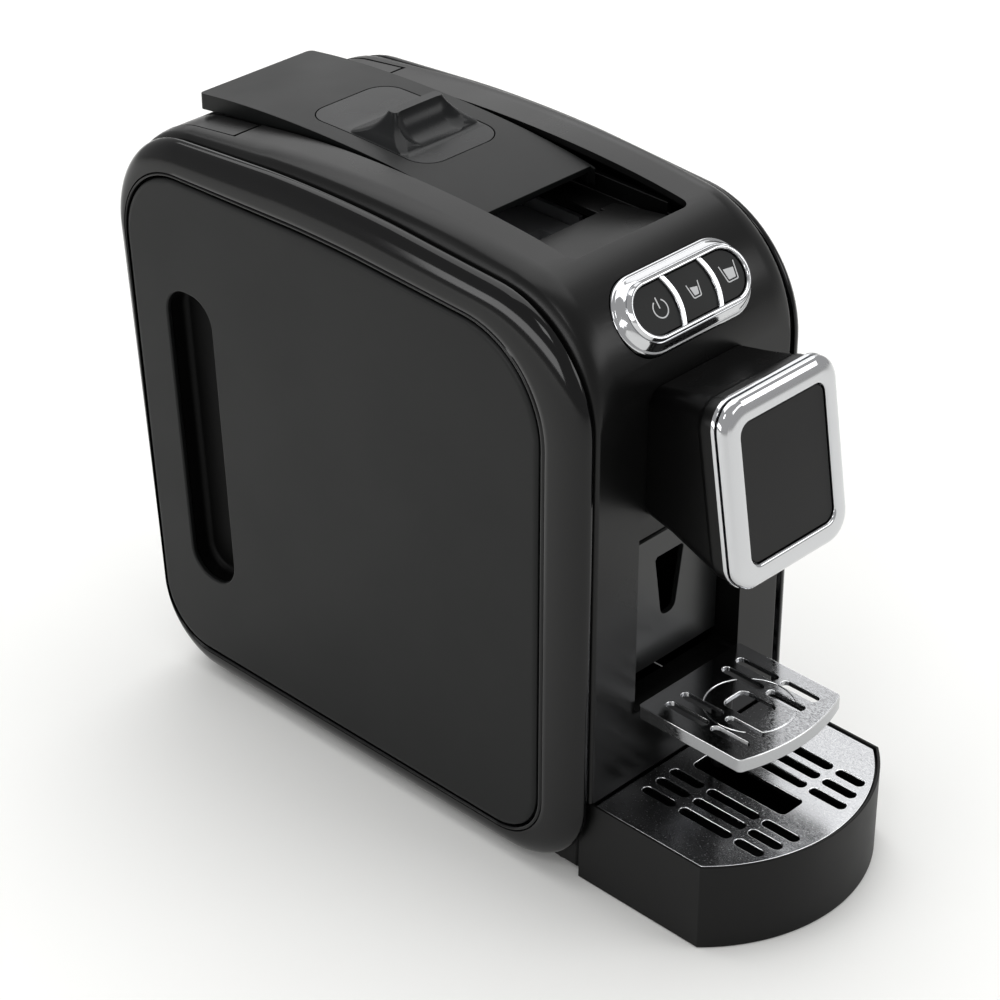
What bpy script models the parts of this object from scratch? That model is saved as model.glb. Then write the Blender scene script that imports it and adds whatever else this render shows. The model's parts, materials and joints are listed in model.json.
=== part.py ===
# Pod coffee machine with a sliding top lid, a rear water tank, a projecting
# spout head, a cup tray and a drip tray.
# Frame: +Z up, the front faces -Y, X = 0 is the plane of symmetry, and the
# origin is on the worktop under the middle of the machine.
# All sizes are in millimetres and are scaled to metres when a mesh is made.
import math

import bpy
import bmesh
from mathutils import Matrix, Vector

MM = 0.001
GAP = 0.3

# Side outline of the body: corner y, corner z, radius, steps in the arc.
CROWN_OUTLINE = [
    (-99.5, 3.5, 38, 5), (-99.5, 271.6, 50, 9), (26, 288.4, 585, 6),
    (187.7, 267, 45, 7), (159, 3.5, 32, 5)]
EDGE_OUTLINE = [
    (-99.5, 3.5, 38, 5), (-99.5, 269, 55, 9), (48, 278.4, 600, 6),
    (186.2, 267.5, 45, 7), (159, 3.5, 32, 5)]
INSET_OUTLINE = [
    (-77.5, 15.5, 24, 5), (-77.5, 252.5, 44, 9), (45, 258, 600, 6),
    (175.5, 254, 36, 7), (161, 15.5, 28, 5)]

SHELL_HALF = 59.4
SHELL_WALL = 3.0
SHELL_FRONT = -99.5
SHELL_BOTTOM = 24.0
COVER_INNER = 59.8
COVER_OUTER = 69.6
POCKET_FLOOR = 66.6
PANEL_OUTER = 69.9

# Recess in each side panel.
RECESS_OUTLINE = [
    (112, 57, 13, 4), (140.3, 57, 13, 4), (149.3, 202, 13, 4), (119.5, 202, 13, 4)]
RECESS_FLOOR = 58.8
RECESS_WALL = 1.6

# Sliding lid, its channel and the deck under it.
CHANNEL_HALF = 35.0
CHANNEL_FRONT = -62.3
DECK_TOP = 264.8
DECK_BOTTOM = 261.3
LID_HALF = 33.0
LID_FRONT = -12.1
LID_REAR = 162.9
LID_SKIN = 2.6
LID_SKIRT = 7.3
LID_TRAVEL = 49.4
GRIP_HALF = 23.4
GRIP_FRONT = 31.4
GRIP_REAR = 104.6
GRIP_TOP = 293.8
GRIP_RISE = 10.8
POD_HOLE_HALF = 20.0
POD_HOLE = (-28.5, 7.5)

# Water tank at the rear.
TANK_FRONT = 120.4
TANK_HALF = 49.9
TANK_BOTTOM = 32.0
TANK_TOP = 232.0

# Control panel on the sloping front edge.
PANEL_TILT = math.radians(38.6)
PANEL_CENTRE = (-88.3, 256.6)
BEZEL_LENGTH = 38.5
BEZEL_HEIGHT = 17.0
BEZEL_RISE = 8.0
KEYS_LENGTH = 31.5
KEYS_HEIGHT = 10.4
DIVIDER_AT = 10.95
DIVIDER_BULGE = 3.5
DIVIDER_WIDTH = 2.8
KEY_CLEARANCE = 0.4

# Spout head.
HEAD_TILT = math.radians(9.3)
FACE_CENTRE = (-147.5, 199.7)
FACE_HALF = (25.4, 30.3)
FRAME_HALF = (35.2, 41.2)
FRAME_DEPTH = 9.0
HEAD_ROOT = (30.0, 30.0)
SPOUT_Y = -125.0
SPOUT_TIP = 154.0

# Alcove, used-pod bin and cup tray.
ALCOVE_HALF = 33.0
ALCOVE_BACK = -85.0
ALCOVE_TOP = 171.0
BIN_TOP = 149.0
BIN_BOTTOM = 83.0
BIN_REAR = -5.0
CUP_TRAY_TOP = 81.0
CUP_TRAY_EDGE = 6.4

# Drip tray and grille.
TRAY_HALF = 57.8
TRAY_CORNER = -158.0
TRAY_FRONT = -182.9
TRAY_REAR = -92.2
TRAY_RIM = 41.8
TRAY_WALL = 2.5
GRILLE_TOP = 40.6
GRILLE_THICK = 2.0
GRILLE_HALF = 54.8

BASE_HALF = 57.4
BASE_FRONT = -91.5
BASE_REAR = 140.0
BASE_BOTTOM = 1.8

BAY_WALL = (115.5, 118.0)

TURNS = {
    "X": Matrix.Rotation(math.pi / 2, 4, "Z") @ Matrix.Rotation(math.pi / 2, 4, "X"),
    "Y": Matrix.Rotation(math.pi / 2, 4, "X"),
    "Z": Matrix.Identity(4)}
ALONG = {"X": Vector((1, 0, 0)), "Y": Vector((0, 1, 0)), "Z": Vector((0, 0, 1))}

for old in list(bpy.data.objects):
    bpy.data.objects.remove(old, do_unlink=True)

machine = bpy.data.collections.new("pod_coffee_machine")
cutters = bpy.data.collections.new("cutters")
bpy.context.scene.collection.children.link(machine)
bpy.context.scene.collection.children.link(cutters)


def material(name, colour, roughness, metallic=0.0):
    made = bpy.data.materials.new(name)
    made.use_nodes = True
    shader = made.node_tree.nodes["Principled BSDF"]
    shader.inputs["Base Color"].default_value = (*colour, 1.0)
    shader.inputs["Roughness"].default_value = roughness
    shader.inputs["Metallic"].default_value = metallic
    return made


satin_black = material("satin_black_abs", (0.012, 0.012, 0.013), 0.38)
gloss_black = material("gloss_black_abs", (0.006, 0.006, 0.007), 0.08)
matte_charcoal = material("matte_charcoal_abs", (0.022, 0.022, 0.024), 0.5)
matte_black = material("matte_black_pp", (0.015, 0.015, 0.016), 0.6)
chrome = material("chrome_plated_abs", (0.80, 0.80, 0.81), 0.08, 1.0)
satin_steel = material("satin_stainless_steel", (0.55, 0.55, 0.56), 0.28, 1.0)
smoked = material("smoked_copolyester", (0.03, 0.03, 0.035), 0.12)
nylon_grey = material("grey_nylon", (0.25, 0.25, 0.26), 0.55)
white_nylon = material("white_acetal", (0.75, 0.75, 0.73), 0.45)
aluminium = material("cast_aluminium", (0.6, 0.6, 0.61), 0.42, 1.0)
zinc_steel = material("zinc_plated_steel", (0.5, 0.5, 0.52), 0.35, 1.0)
silicone = material("clear_silicone", (0.7, 0.7, 0.7), 0.4)
rubber = material("black_rubber", (0.02, 0.02, 0.02), 0.8)
laminate = material("green_fibreglass_laminate", (0.02, 0.12, 0.05), 0.45)


# ---------------------------------------------------------------- outlines
def rounded(corners):
    points = []
    count = len(corners)
    for index, (a, b, radius, steps) in enumerate(corners):
        corner = Vector((a, b))
        before = (Vector(corners[index - 1][:2]) - corner).normalized()
        after = (Vector(corners[(index + 1) % count][:2]) - corner).normalized()
        half = before.angle(after) / 2
        centre = corner + (before + after).normalized() * (radius / math.sin(half))
        start = corner + before * (radius / math.tan(half)) - centre
        end = corner + after * (radius / math.tan(half)) - centre
        first = math.atan2(start.y, start.x)
        sweep = math.atan2(end.y, end.x) - first
        sweep = (sweep + math.pi) % (2 * math.pi) - math.pi
        for step in range(steps + 1):
            angle = first + sweep * step / steps
            points.append(centre + radius * Vector((math.cos(angle), math.sin(angle))))
    return points


def rounded_box(low_a, high_a, low_b, high_b, radius, steps=4):
    return rounded([
        (low_a, low_b, radius, steps), (high_a, low_b, radius, steps),
        (high_a, high_b, radius, steps), (low_a, high_b, radius, steps)])


def shrink(points, distance):
    count = len(points)
    area = sum(points[i - 1].x * points[i].y - points[i].x * points[i - 1].y
               for i in range(count))
    side = 1 if area > 0 else -1
    moved = []
    for index, point in enumerate(points):
        before = (point - points[index - 1]).normalized()
        after = (points[(index + 1) % count] - point).normalized()
        normal_before = Vector((-before.y, before.x)) * side
        normal_after = Vector((-after.y, after.x)) * side
        mitre = (normal_before + normal_after) / (1 + normal_before.dot(normal_after))
        moved.append(point + mitre * distance)
    return moved


def blend(first, second, share):
    return [a.lerp(b, share) for a, b in zip(first, second)]


def capsule(centre_a, centre_b, length, width, steps=4):
    half = length / 2 - width / 2
    points = []
    for turn, end in ((0, half), (math.pi, -half)):
        for step in range(steps + 1):
            angle = turn + math.pi * step / steps
            points.append(Vector((
                centre_a + width / 2 * math.cos(angle),
                centre_b + end + width / 2 * math.sin(angle))))
    return points


def bowed_outline(half, corner_half, rear, corner, front, steps=12):
    # Straight sides from the rear to the corners and a shallow arc in front.
    rise = corner - front
    radius = (corner_half ** 2 + rise ** 2) / (2 * rise)
    sweep = math.asin(corner_half / radius)
    points = [Vector((half, rear)), Vector((-half, rear))]
    for step in range(steps + 1):
        angle = -sweep + 2 * sweep * step / steps
        points.append(Vector((
            radius * math.sin(angle), front + radius - radius * math.cos(angle))))
    return points


# ------------------------------------------------------------------ solids
def new_object(name, mesh, collection=machine):
    made = bpy.data.objects.new(name, mesh)
    collection.objects.link(made)
    return made


def prism(name, outlines, axis, low, high):
    curve = bpy.data.curves.new(name, "CURVE")
    curve.dimensions = "2D"
    curve.fill_mode = "BOTH"
    curve.extrude = (high - low) / 2 * MM
    for outline in outlines:
        spline = curve.splines.new("POLY")
        spline.points.add(len(outline) - 1)
        for point, place in zip(spline.points, outline):
            point.co = (place[0] * MM, place[1] * MM, 0, 1)
        spline.use_cyclic_u = True
    middle = ALONG[axis] * ((low + high) / 2 * MM)
    guide = new_object(name + "_outline", curve)
    guide.matrix_world = Matrix.Translation(middle) @ TURNS[axis]
    return curve_to_mesh(guide, name)


def curve_to_mesh(guide, name):
    bpy.context.view_layer.update()
    evaluated = guide.evaluated_get(bpy.context.evaluated_depsgraph_get())
    mesh = bpy.data.meshes.new_from_object(evaluated)
    mesh.transform(guide.matrix_world)
    bpy.data.objects.remove(guide, do_unlink=True)
    return new_object(name, tidy(mesh))


def tidy(mesh):
    work = bmesh.new()
    work.from_mesh(mesh)
    bmesh.ops.remove_doubles(work, verts=work.verts, dist=0.000002)
    bmesh.ops.recalc_face_normals(work, faces=work.faces)
    work.to_mesh(mesh)
    work.free()
    return mesh


def box(name, x, y, z):
    work = bmesh.new()
    bmesh.ops.create_cube(work, size=1.0)
    size = Vector((x[1] - x[0], y[1] - y[0], z[1] - z[0])) * MM
    centre = Vector((x[1] + x[0], y[1] + y[0], z[1] + z[0])) * MM / 2
    bmesh.ops.scale(work, vec=size, verts=work.verts)
    bmesh.ops.translate(work, vec=centre, verts=work.verts)
    mesh = bpy.data.meshes.new(name)
    work.to_mesh(mesh)
    work.free()
    return new_object(name, mesh)


def cylinder(name, centre, axis, radius, length, segments=20, top_radius=None):
    top = radius if top_radius is None else top_radius
    turn = {"X": Matrix.Rotation(math.pi / 2, 4, "Y"),
            "Y": Matrix.Rotation(-math.pi / 2, 4, "X"),
            "Z": Matrix.Identity(4)}[axis]
    work = bmesh.new()
    bmesh.ops.create_cone(
        work, cap_ends=True, segments=segments, radius1=radius * MM,
        radius2=top * MM, depth=length * MM,
        matrix=Matrix.Translation(Vector(centre) * MM) @ turn)
    mesh = bpy.data.meshes.new(name)
    work.to_mesh(mesh)
    work.free()
    return new_object(name, mesh)


def loft(name, rings):
    # Joins rings of equal length and closes both ends.
    work = bmesh.new()
    loops = [[work.verts.new(Vector(point) * MM) for point in ring] for ring in rings]
    for lower, upper in zip(loops, loops[1:]):
        for index in range(len(lower)):
            work.faces.new((lower[index - 1], lower[index], upper[index], upper[index - 1]))
    work.faces.new(loops[0])
    work.faces.new(loops[-1])
    bmesh.ops.recalc_face_normals(work, faces=work.faces)
    mesh = bpy.data.meshes.new(name)
    work.to_mesh(mesh)
    work.free()
    return new_object(name, mesh)


def turned(name, profile, centre, axis="Z", steps=20):
    # The profile runs down its outer side, top to bottom, as (radius, height).
    mesh = bpy.data.meshes.new(name)
    points = [(radius * MM, 0, height * MM) for radius, height in profile]
    edges = [(index, index + 1) for index in range(len(points) - 1)]
    mesh.from_pydata(points, edges, [])
    made = new_object(name, mesh)
    screw = made.modifiers.new("turn", "SCREW")
    screw.steps = steps
    screw.render_steps = steps
    screw.use_merge_vertices = True
    screw.merge_threshold = 0.00005
    bpy.context.view_layer.update()
    evaluated = made.evaluated_get(bpy.context.evaluated_depsgraph_get())
    solid = bpy.data.meshes.new_from_object(evaluated)
    bpy.data.objects.remove(made, do_unlink=True)
    turn = {"X": Matrix.Rotation(math.pi / 2, 4, "Y"),
            "Y": Matrix.Rotation(-math.pi / 2, 4, "X"),
            "Z": Matrix.Identity(4)}[axis]
    solid.transform(Matrix.Translation(Vector(centre) * MM) @ turn)
    return new_object(name, tidy(solid))


def tube(name, route, radius, smooth_steps=5):
    # Rounds a route's bends with a Catmull-Rom curve through its points.
    points = [Vector(place) for place in route]
    padded = [2 * points[0] - points[1], *points, 2 * points[-1] - points[-2]]
    path = []
    for index in range(1, len(padded) - 2):
        a, b, c, d = padded[index - 1:index + 3]
        for step in range(smooth_steps):
            t = step / smooth_steps
            path.append(0.5 * ((2 * b) + (c - a) * t + (2 * a - 5 * b + 4 * c - d) * t * t
                               + (3 * b - a - 3 * c + d) * t ** 3))
    path.append(points[-1])
    curve = bpy.data.curves.new(name, "CURVE")
    curve.dimensions = "3D"
    curve.bevel_depth = radius * MM
    curve.bevel_resolution = 1
    curve.use_fill_caps = True
    spline = curve.splines.new("POLY")
    spline.points.add(len(path) - 1)
    for point, place in zip(spline.points, path):
        point.co = (*(place * MM), 1)
    return curve_to_mesh(new_object(name + "_route", curve), name)


def apply_boolean(target, tool, operation):
    for owner in list(tool.users_collection):
        owner.objects.unlink(tool)
    cutters.objects.link(tool)
    tool.hide_render = True
    tool.display_type = "WIRE"
    modifier = target.modifiers.new(operation.lower(), "BOOLEAN")
    modifier.operation = operation
    modifier.solver = "EXACT"
    modifier.object = tool
    return target


def cut(target, *tools):
    for tool in tools:
        apply_boolean(target, tool, "DIFFERENCE")
    return target


def unite(target, *tools):
    for tool in tools:
        apply_boolean(target, tool, "UNION")
    return target


def soften(target, width, segments=1, angle=40):
    bevel = target.modifiers.new("soft_edges", "BEVEL")
    bevel.width = width * MM
    bevel.segments = segments
    bevel.limit_method = "ANGLE"
    bevel.angle_limit = math.radians(angle)
    return target


def finish(made, look, pivot=(0, 0, 0)):
    origin = Vector(pivot) * MM
    made.data.transform(Matrix.Translation(-origin))
    made.location = origin
    made.data.materials.append(look)
    made.data.shade_smooth()
    made.data.set_sharp_from_angle(angle=math.radians(35))
    return made


def side_ring(outline, x):
    return [(x, point.x, point.y) for point in outline]


crown = rounded(CROWN_OUTLINE)
edge = rounded(EDGE_OUTLINE)
inset = rounded(INSET_OUTLINE)


# -------------------------------------------------------------- base, feet
def base_chassis():
    base = box("base_chassis", (-BASE_HALF, BASE_HALF), (BASE_FRONT, BASE_REAR),
               (BASE_BOTTOM, SHELL_BOTTOM - GAP))
    hollow = box("base_hollow", (-BASE_HALF + 3, BASE_HALF - 3),
                 (BASE_FRONT + 3, BASE_REAR - 3), (BASE_BOTTOM + 3, 40))
    soften(base, 2.0)
    return finish(cut(base, hollow), matte_black)


def feet():
    places = {"front_left": (-46, -78), "front_right": (46, -78),
              "rear_left": (-46, 126), "rear_right": (46, 126)}
    for corner, (x, y) in places.items():
        height = BASE_BOTTOM - GAP
        foot = cylinder("foot_" + corner, (x, y, height / 2), "Z", 8, height, 16)
        finish(foot, rubber, (x, y, 0))


# ------------------------------------------------------------ centre shell
def centre_shell():
    rings = []
    for sign in (-1, 1):
        steps = [(SHELL_HALF, 1.3, 0.0), (58.9, 0.4, 0.25), (57.6, 0.0, 0.55), (54.5, 0.0, 0.85),
                 (49.5, 0.0, 1.0)]
        side = [side_ring(shrink(blend(edge, crown, share), inward), sign * x)
                for x, inward, share in steps]
        rings += side if sign < 0 else side[::-1]
    shell = loft("centre_shell", rings)
    low = shrink(crown, SHELL_WALL + 2.2)
    high = shrink(crown, SHELL_WALL)
    cavity = loft("shell_cavity", [side_ring(outline, x) for outline, x in (
        (low, -SHELL_HALF + SHELL_WALL), (low, -51), (high, -48), (high, 48), (low, 51),
        (low, SHELL_HALF - SHELL_WALL))])
    side_window = prism("shell_side_window", [shrink(edge, 14)], "X", -80, 80)
    below = box("shell_below", (-80, 80), (-140, 240), (-20, SHELL_BOTTOM))
    toe = box("shell_toe", (-80, 80), (-140, TRAY_REAR + GAP), (-10, 42.3))
    tank_bay = box("shell_tank_bay", (-50.6, 50.6), (119.3, 240), (-10, 330))
    alcove_walls = box("shell_alcove_walls", (-ALCOVE_HALF - 2.4, ALCOVE_HALF + 2.4),
                       (-98, ALCOVE_BACK + GAP), (73.5, ALCOVE_TOP + 2.4))
    alcove = box("shell_alcove", (-ALCOVE_HALF, ALCOVE_HALF), (-120, -70), (76, ALCOVE_TOP))
    brow = box("shell_alcove_brow", (-ALCOVE_HALF - 1, ALCOVE_HALF + 1),
               (ALCOVE_BACK - 2.4, ALCOVE_BACK), (BIN_TOP + 1.2, ALCOVE_TOP + 1))
    lid_channel = prism("shell_lid_channel", [rounded([
        (-CHANNEL_HALF, CHANNEL_FRONT, 4, 3), (CHANNEL_HALF, CHANNEL_FRONT, 4, 3),
        (CHANNEL_HALF, 160, 4, 1), (-CHANNEL_HALF, 160, 4, 1)])], "Z", 250, 330)
    control_hole = slope_prism("shell_control_hole", stadium(
        BEZEL_LENGTH + GAP, BEZEL_HEIGHT + GAP), -14, 14)
    pipe_hole = cylinder("shell_pipe_hole", (0, SHELL_FRONT, 205), "Y", 11, 16, 16)
    cut(shell, cavity, side_window, below, toe, tank_bay)
    unite(shell, alcove_walls)
    cut(shell, alcove)
    unite(shell, brow)
    cut(shell, lid_channel, control_hole, pipe_hole)
    return finish(shell, satin_black)


# ------------------------------------------------------------- side covers
def side_cover(name, sign):
    pocket = shrink(inset, -0.35)
    rings = [side_ring(shrink(edge, 0.9), sign * COVER_INNER),
             side_ring(edge, sign * (COVER_INNER + 1.6))]
    rise = COVER_OUTER - COVER_INNER - 1.6
    for degrees in (28, 52, 73, 90):
        share = 1 - math.cos(math.radians(degrees))
        x = COVER_INNER + 1.6 + rise * math.sin(math.radians(degrees))
        rings.append(side_ring(blend(edge, pocket, share), sign * x))
    rings.append(side_ring(pocket, sign * POCKET_FLOOR))
    cover = loft(name, rings)
    hollow = prism(name + "_hollow", [shrink(edge, 7)], "X",
                   *sorted((sign * (COVER_INNER - 3), sign * (POCKET_FLOOR - 3))))
    hole = prism(name + "_recess_hole", [shrink(rounded(RECESS_OUTLINE), -RECESS_WALL - GAP)],
                 "X", *sorted((sign * 50, sign * 68)))
    cut(cover, hollow, hole)
    return finish(cover, gloss_black)


def side_panel(name, sign):
    rings = [side_ring(shrink(inset, 0.2), sign * (POCKET_FLOOR + GAP)),
             side_ring(shrink(inset, 0.2), sign * (PANEL_OUTER - 1.2)),
             side_ring(shrink(inset, 1.2), sign * (PANEL_OUTER - 0.4)),
             side_ring(shrink(inset, 3.4), sign * PANEL_OUTER)]
    panel = loft(name, rings)
    recess = rounded(RECESS_OUTLINE)
    cup = prism(name + "_cup", [shrink(recess, -RECESS_WALL)], "X",
                *sorted((sign * (RECESS_FLOOR - RECESS_WALL), sign * (POCKET_FLOOR + 1.5))))
    space = prism(name + "_space", [recess], "X",
                  *sorted((sign * RECESS_FLOOR, sign * (PANEL_OUTER + 6))))
    unite(panel, cup)
    cut(panel, space)
    return finish(panel, matte_charcoal)


# -------------------------------------------------------- lid and its deck
def lid_track():
    deck = box("lid_track", (-37.6, 37.6), (CHANNEL_FRONT - 2.4, BAY_WALL[0] - GAP),
               (DECK_BOTTOM, 268.2))
    walls = box("track_walls", (-37.6, 37.6), (-50, BAY_WALL[0] - GAP), (DECK_TOP, 272.8))
    channel = box("track_channel", (-CHANNEL_HALF, CHANNEL_HALF), (CHANNEL_FRONT, 140),
                  (DECK_TOP, 290))
    ramp = prism("track_ramp", [[
        Vector((CHANNEL_FRONT - 1, 263)), Vector((CHANNEL_FRONT - 1, 268.0)),
        Vector((CHANNEL_FRONT + 0.4, 272.4)), Vector((POD_HOLE[0] + 2, 267.2)),
        Vector((POD_HOLE[0] + 2, 263))]], "X", -28.5, 28.5)
    hole = box("track_pod_hole", (-POD_HOLE_HALF, POD_HOLE_HALF), POD_HOLE, (240, 290))
    slot = box("track_runner_slot", (-5.5, 5.5), (-6, 68), (240, 290))
    unite(deck, walls)
    cut(deck, channel)
    unite(deck, ramp)
    cut(deck, hole, slot)
    return finish(deck, satin_black)


def roof_height(y):
    # Height of the crown's upper side over y.
    upper = sorted((p for p in crown if p.y > 250), key=lambda point: point.x)
    for low, high in zip(upper, upper[1:]):
        if low.x <= y <= high.x:
            return low.y + (high.y - low.y) * (y - low.x) / (high.x - low.x)
    raise ValueError("y is off the crown")


def roof_strip(low_y, high_y, top_depth, bottom_depth):
    # A band under the crown from low_y to high_y, moved back with the open lid.
    inner = sorted(p.x for p in crown if p.y > 250 and low_y < p.x < high_y)
    stations = [low_y, *inner, high_y]
    upper = [Vector((y + LID_TRAVEL, roof_height(y) - top_depth)) for y in stations]
    lower = [Vector((y + LID_TRAVEL, roof_height(y) - bottom_depth)) for y in stations]
    return upper + lower[::-1]


def sliding_lid():
    front = LID_FRONT - LID_TRAVEL
    rear = LID_REAR - LID_TRAVEL
    lid = prism("sliding_lid", [roof_strip(front, rear, 0, LID_SKIRT)], "X", -LID_HALF, LID_HALF)
    inside = prism("lid_inside", [roof_strip(front - 0.5, rear - 2.4, LID_SKIN, 14)], "X",
                   -LID_HALF + 2.4, LID_HALF - 2.4)
    lip = prism("lid_front_lip", [roof_strip(front, front + 2.2, LID_SKIN - 1, 3.5)], "X",
                -LID_HALF + 1, LID_HALF - 1)
    hole = prism("lid_plate_hole", [grip_outline(0.3)], "Z", 265, 300)
    cut(lid, inside)
    unite(lid, lip)
    cut(lid, hole)
    return finish(lid, matte_charcoal, (0, LID_REAR, roof_height(rear)))


def grip_outline(grow):
    return rounded_box(-GRIP_HALF - grow, GRIP_HALF + grow, GRIP_FRONT - grow, GRIP_REAR + grow,
                       11, 4)


def lid_grip():
    plate = prism("lid_grip", [roof_strip(GRIP_FRONT - LID_TRAVEL - 1, GRIP_REAR - LID_TRAVEL + 1,
                                          0.05, LID_SKIN)], "X", -GRIP_HALF - 1, GRIP_HALF + 1)
    keep = prism("grip_keep", [grip_outline(0)], "Z", 240, 320)
    apply_boolean(plate, keep, "INTERSECT")
    base = GRIP_TOP - GRIP_RISE
    rings = []
    for rise, half, front, rear in (
            (-1.6, 22.6, 52.0, 79.0), (0.9, 21.6, 54.6, 74.4), (3.6, 18.4, 57.2, 69.0),
            (7.6, 15.0, 58.8, 65.6), (GRIP_RISE, 13.2, 59.6, 63.6)):
        rings.append([(x, y, base + rise) for x, y in (
            (-half, front), (half, front), (half, rear), (-half, rear))])
    fin = loft("grip_fin", rings)
    runner = box("lid_runner", (-4.5, 4.5), (46, 62), (256, base - 1))
    unite(plate, fin, runner)
    return finish(plate, matte_charcoal, (0, GRIP_FRONT, base))


# -------------------------------------------------------------- water tank
def tank_body():
    outer = rounded([(TANK_FRONT, TANK_BOTTOM, 4, 2), (161.4, TANK_BOTTOM, 8, 3),
                     (182.2, TANK_TOP, 2, 1), (TANK_FRONT, TANK_TOP, 2, 1)])
    body = prism("tank_body", [outer], "X", -TANK_HALF, TANK_HALF)
    hollow = prism("tank_hollow", [shrink(rounded([
        (TANK_FRONT, TANK_BOTTOM, 4, 2), (161.4, TANK_BOTTOM, 8, 3),
        (190.2, 302, 2, 1), (TANK_FRONT, 302, 2, 1)]), 2.4)], "X",
        -TANK_HALF + 2.4, TANK_HALF - 2.4)
    outlet = cylinder("tank_outlet", (0, TANK_FRONT, 46), "Y", 5, 12, 16)
    cut(body, hollow, outlet)
    return finish(body, smoked, (0, TANK_FRONT, TANK_BOTTOM))


def tank_lid():
    lid = prism("tank_lid", [shrink(crown, 0.3)], "X", -TANK_HALF - 0.3, TANK_HALF + 0.3)
    keep = box("tank_lid_keep", (-60, 60), (119.7, 240), (TANK_TOP + GAP, 330))
    hollow = prism("tank_lid_hollow", [shrink(crown, 3.0)], "X", -TANK_HALF + 2, TANK_HALF - 2)
    front = box("tank_lid_front", (-60, 60), (100, 122.2), (200, 330))
    channel = box("tank_lid_channel", (-CHANNEL_HALF - 0.3, CHANNEL_HALF + 0.3), (100, 240),
                  (268.2, 330))
    roof = box("tank_lid_roof", (-60, 60), (100, 240), (265.6, 330))
    cut(hollow, front, roof)
    apply_boolean(lid, keep, "INTERSECT")
    cut(lid, hollow, channel)
    return finish(lid, satin_black, (0, TANK_FRONT, TANK_TOP))


def tank_valve():
    valve = turned("tank_valve", [
        (0, 4.5), (7, 4.5), (7, 1.8), (4.6, 1.8), (4.6, -8.5), (0, -8.5)],
        (0, TANK_FRONT + 0.7, 46), "Y", 16)
    return finish(valve, white_nylon, (0, TANK_FRONT, 46))


def tank_bay():
    profile = [Vector(place) for place in (
        (BAY_WALL[0], 27), (150, 27), (150, 30), (BAY_WALL[1], 30),
        (BAY_WALL[1], 262), (BAY_WALL[0], 262))]
    bay = prism("tank_bay", [profile], "X", -55.8, 55.8)
    socket = cylinder("bay_socket", (0, 113, 46), "Y", 9, 8, 16)
    bore = cylinder("bay_bore", (0, 112, 46), "Y", 5.2, 30, 16)
    unite(bay, socket)
    cut(bay, bore)
    return finish(bay, matte_black)


def rear_panel():
    # Closes the back under the tank, between the shell's rear edges.
    panel = prism("rear_panel", [[Vector(place) for place in (
        (150.5, 24.5), (158.6, 24.5), (159.4, 31.4), (150.5, 31.4))]], "X", -49.8, 49.8)
    skirt = box("rear_skirt", (-49.8, 49.8), (BASE_REAR + GAP, 146), (3.4, 24.2))
    step = box("rear_step", (-49.8, 49.8), (143.6, 152.5), (23.5, 26.7))
    hole = cylinder("rear_inlet_hole", (30, 143, 13.6), "Y", 5.2, 20, 16)
    unite(panel, step, skirt)
    cut(panel, hole)
    return finish(panel, matte_black)


def power_inlet():
    inlet = turned("power_inlet", [
        (0, 14), (3.6, 14), (4.8, 5.0), (8.4, 5.0), (8.4, 2.0), (4.8, 2.0), (4.8, -3.8), (0, -3.8)],
        (30, 144.4, 13.6), "Y", 16)
    return finish(inlet, rubber, (30, 146, 13.6))


def rear_screws():
    for side, x in (("left", -44), ("right", 44)):
        head = cylinder("rear_screw_" + side, (x, 147.4, 17), "Y", 3.0, 2.2, 12)
        socket = cylinder("rear_socket_" + side, (x, 149, 17), "Y", 1.4, 2.6, 6)
        finish(cut(head, socket), zinc_steel, (x, 147.4, 17))


# ----------------------------------------------------------- control panel
def slope_frame():
    return (Matrix.Translation(Vector((0, *PANEL_CENTRE)) * MM)
            @ Matrix.Rotation(math.pi / 2 - PANEL_TILT, 4, "X"))


def stadium(length, height, steps=7):
    return capsule_across(length, height, steps)


def capsule_across(length, height, steps):
    points = []
    for turn, end in ((-math.pi / 2, length - height), (math.pi / 2, height - length)):
        for step in range(steps + 1):
            angle = turn + math.pi * step / steps
            points.append(Vector((end + height * math.cos(angle), height * math.sin(angle))))
    return points


def slope_prism(name, outline, low, high):
    made = prism(name, [outline], "Z", low, high)
    made.data.transform(slope_frame())
    return made


def divider_side(at, side, rows=4):
    # One side of a bowed divider, bottom to top.
    places = []
    for row in range(rows + 1):
        height = -KEYS_HEIGHT + 2 * KEYS_HEIGHT * row / rows
        bow = DIVIDER_BULGE * (1 - (height / KEYS_HEIGHT) ** 2)
        places.append(Vector((at + bow + side * DIVIDER_WIDTH / 2, height)))
    return places


def key_outline(index):
    bend = KEYS_LENGTH - KEYS_HEIGHT
    left_end = [Vector((-bend + KEYS_HEIGHT * math.cos(a), KEYS_HEIGHT * math.sin(a)))
                for a in [math.pi / 2 + math.pi * step / 7 for step in range(8)]]
    right_end = [Vector((bend + KEYS_HEIGHT * math.cos(a), KEYS_HEIGHT * math.sin(a)))
                 for a in [-math.pi / 2 + math.pi * step / 7 for step in range(8)]]
    if index == 0:
        return left_end + divider_side(-DIVIDER_AT, -1)
    if index == 1:
        return divider_side(-DIVIDER_AT, 1)[::-1] + divider_side(DIVIDER_AT, -1)
    return divider_side(DIVIDER_AT, 1)[::-1] + right_end


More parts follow.
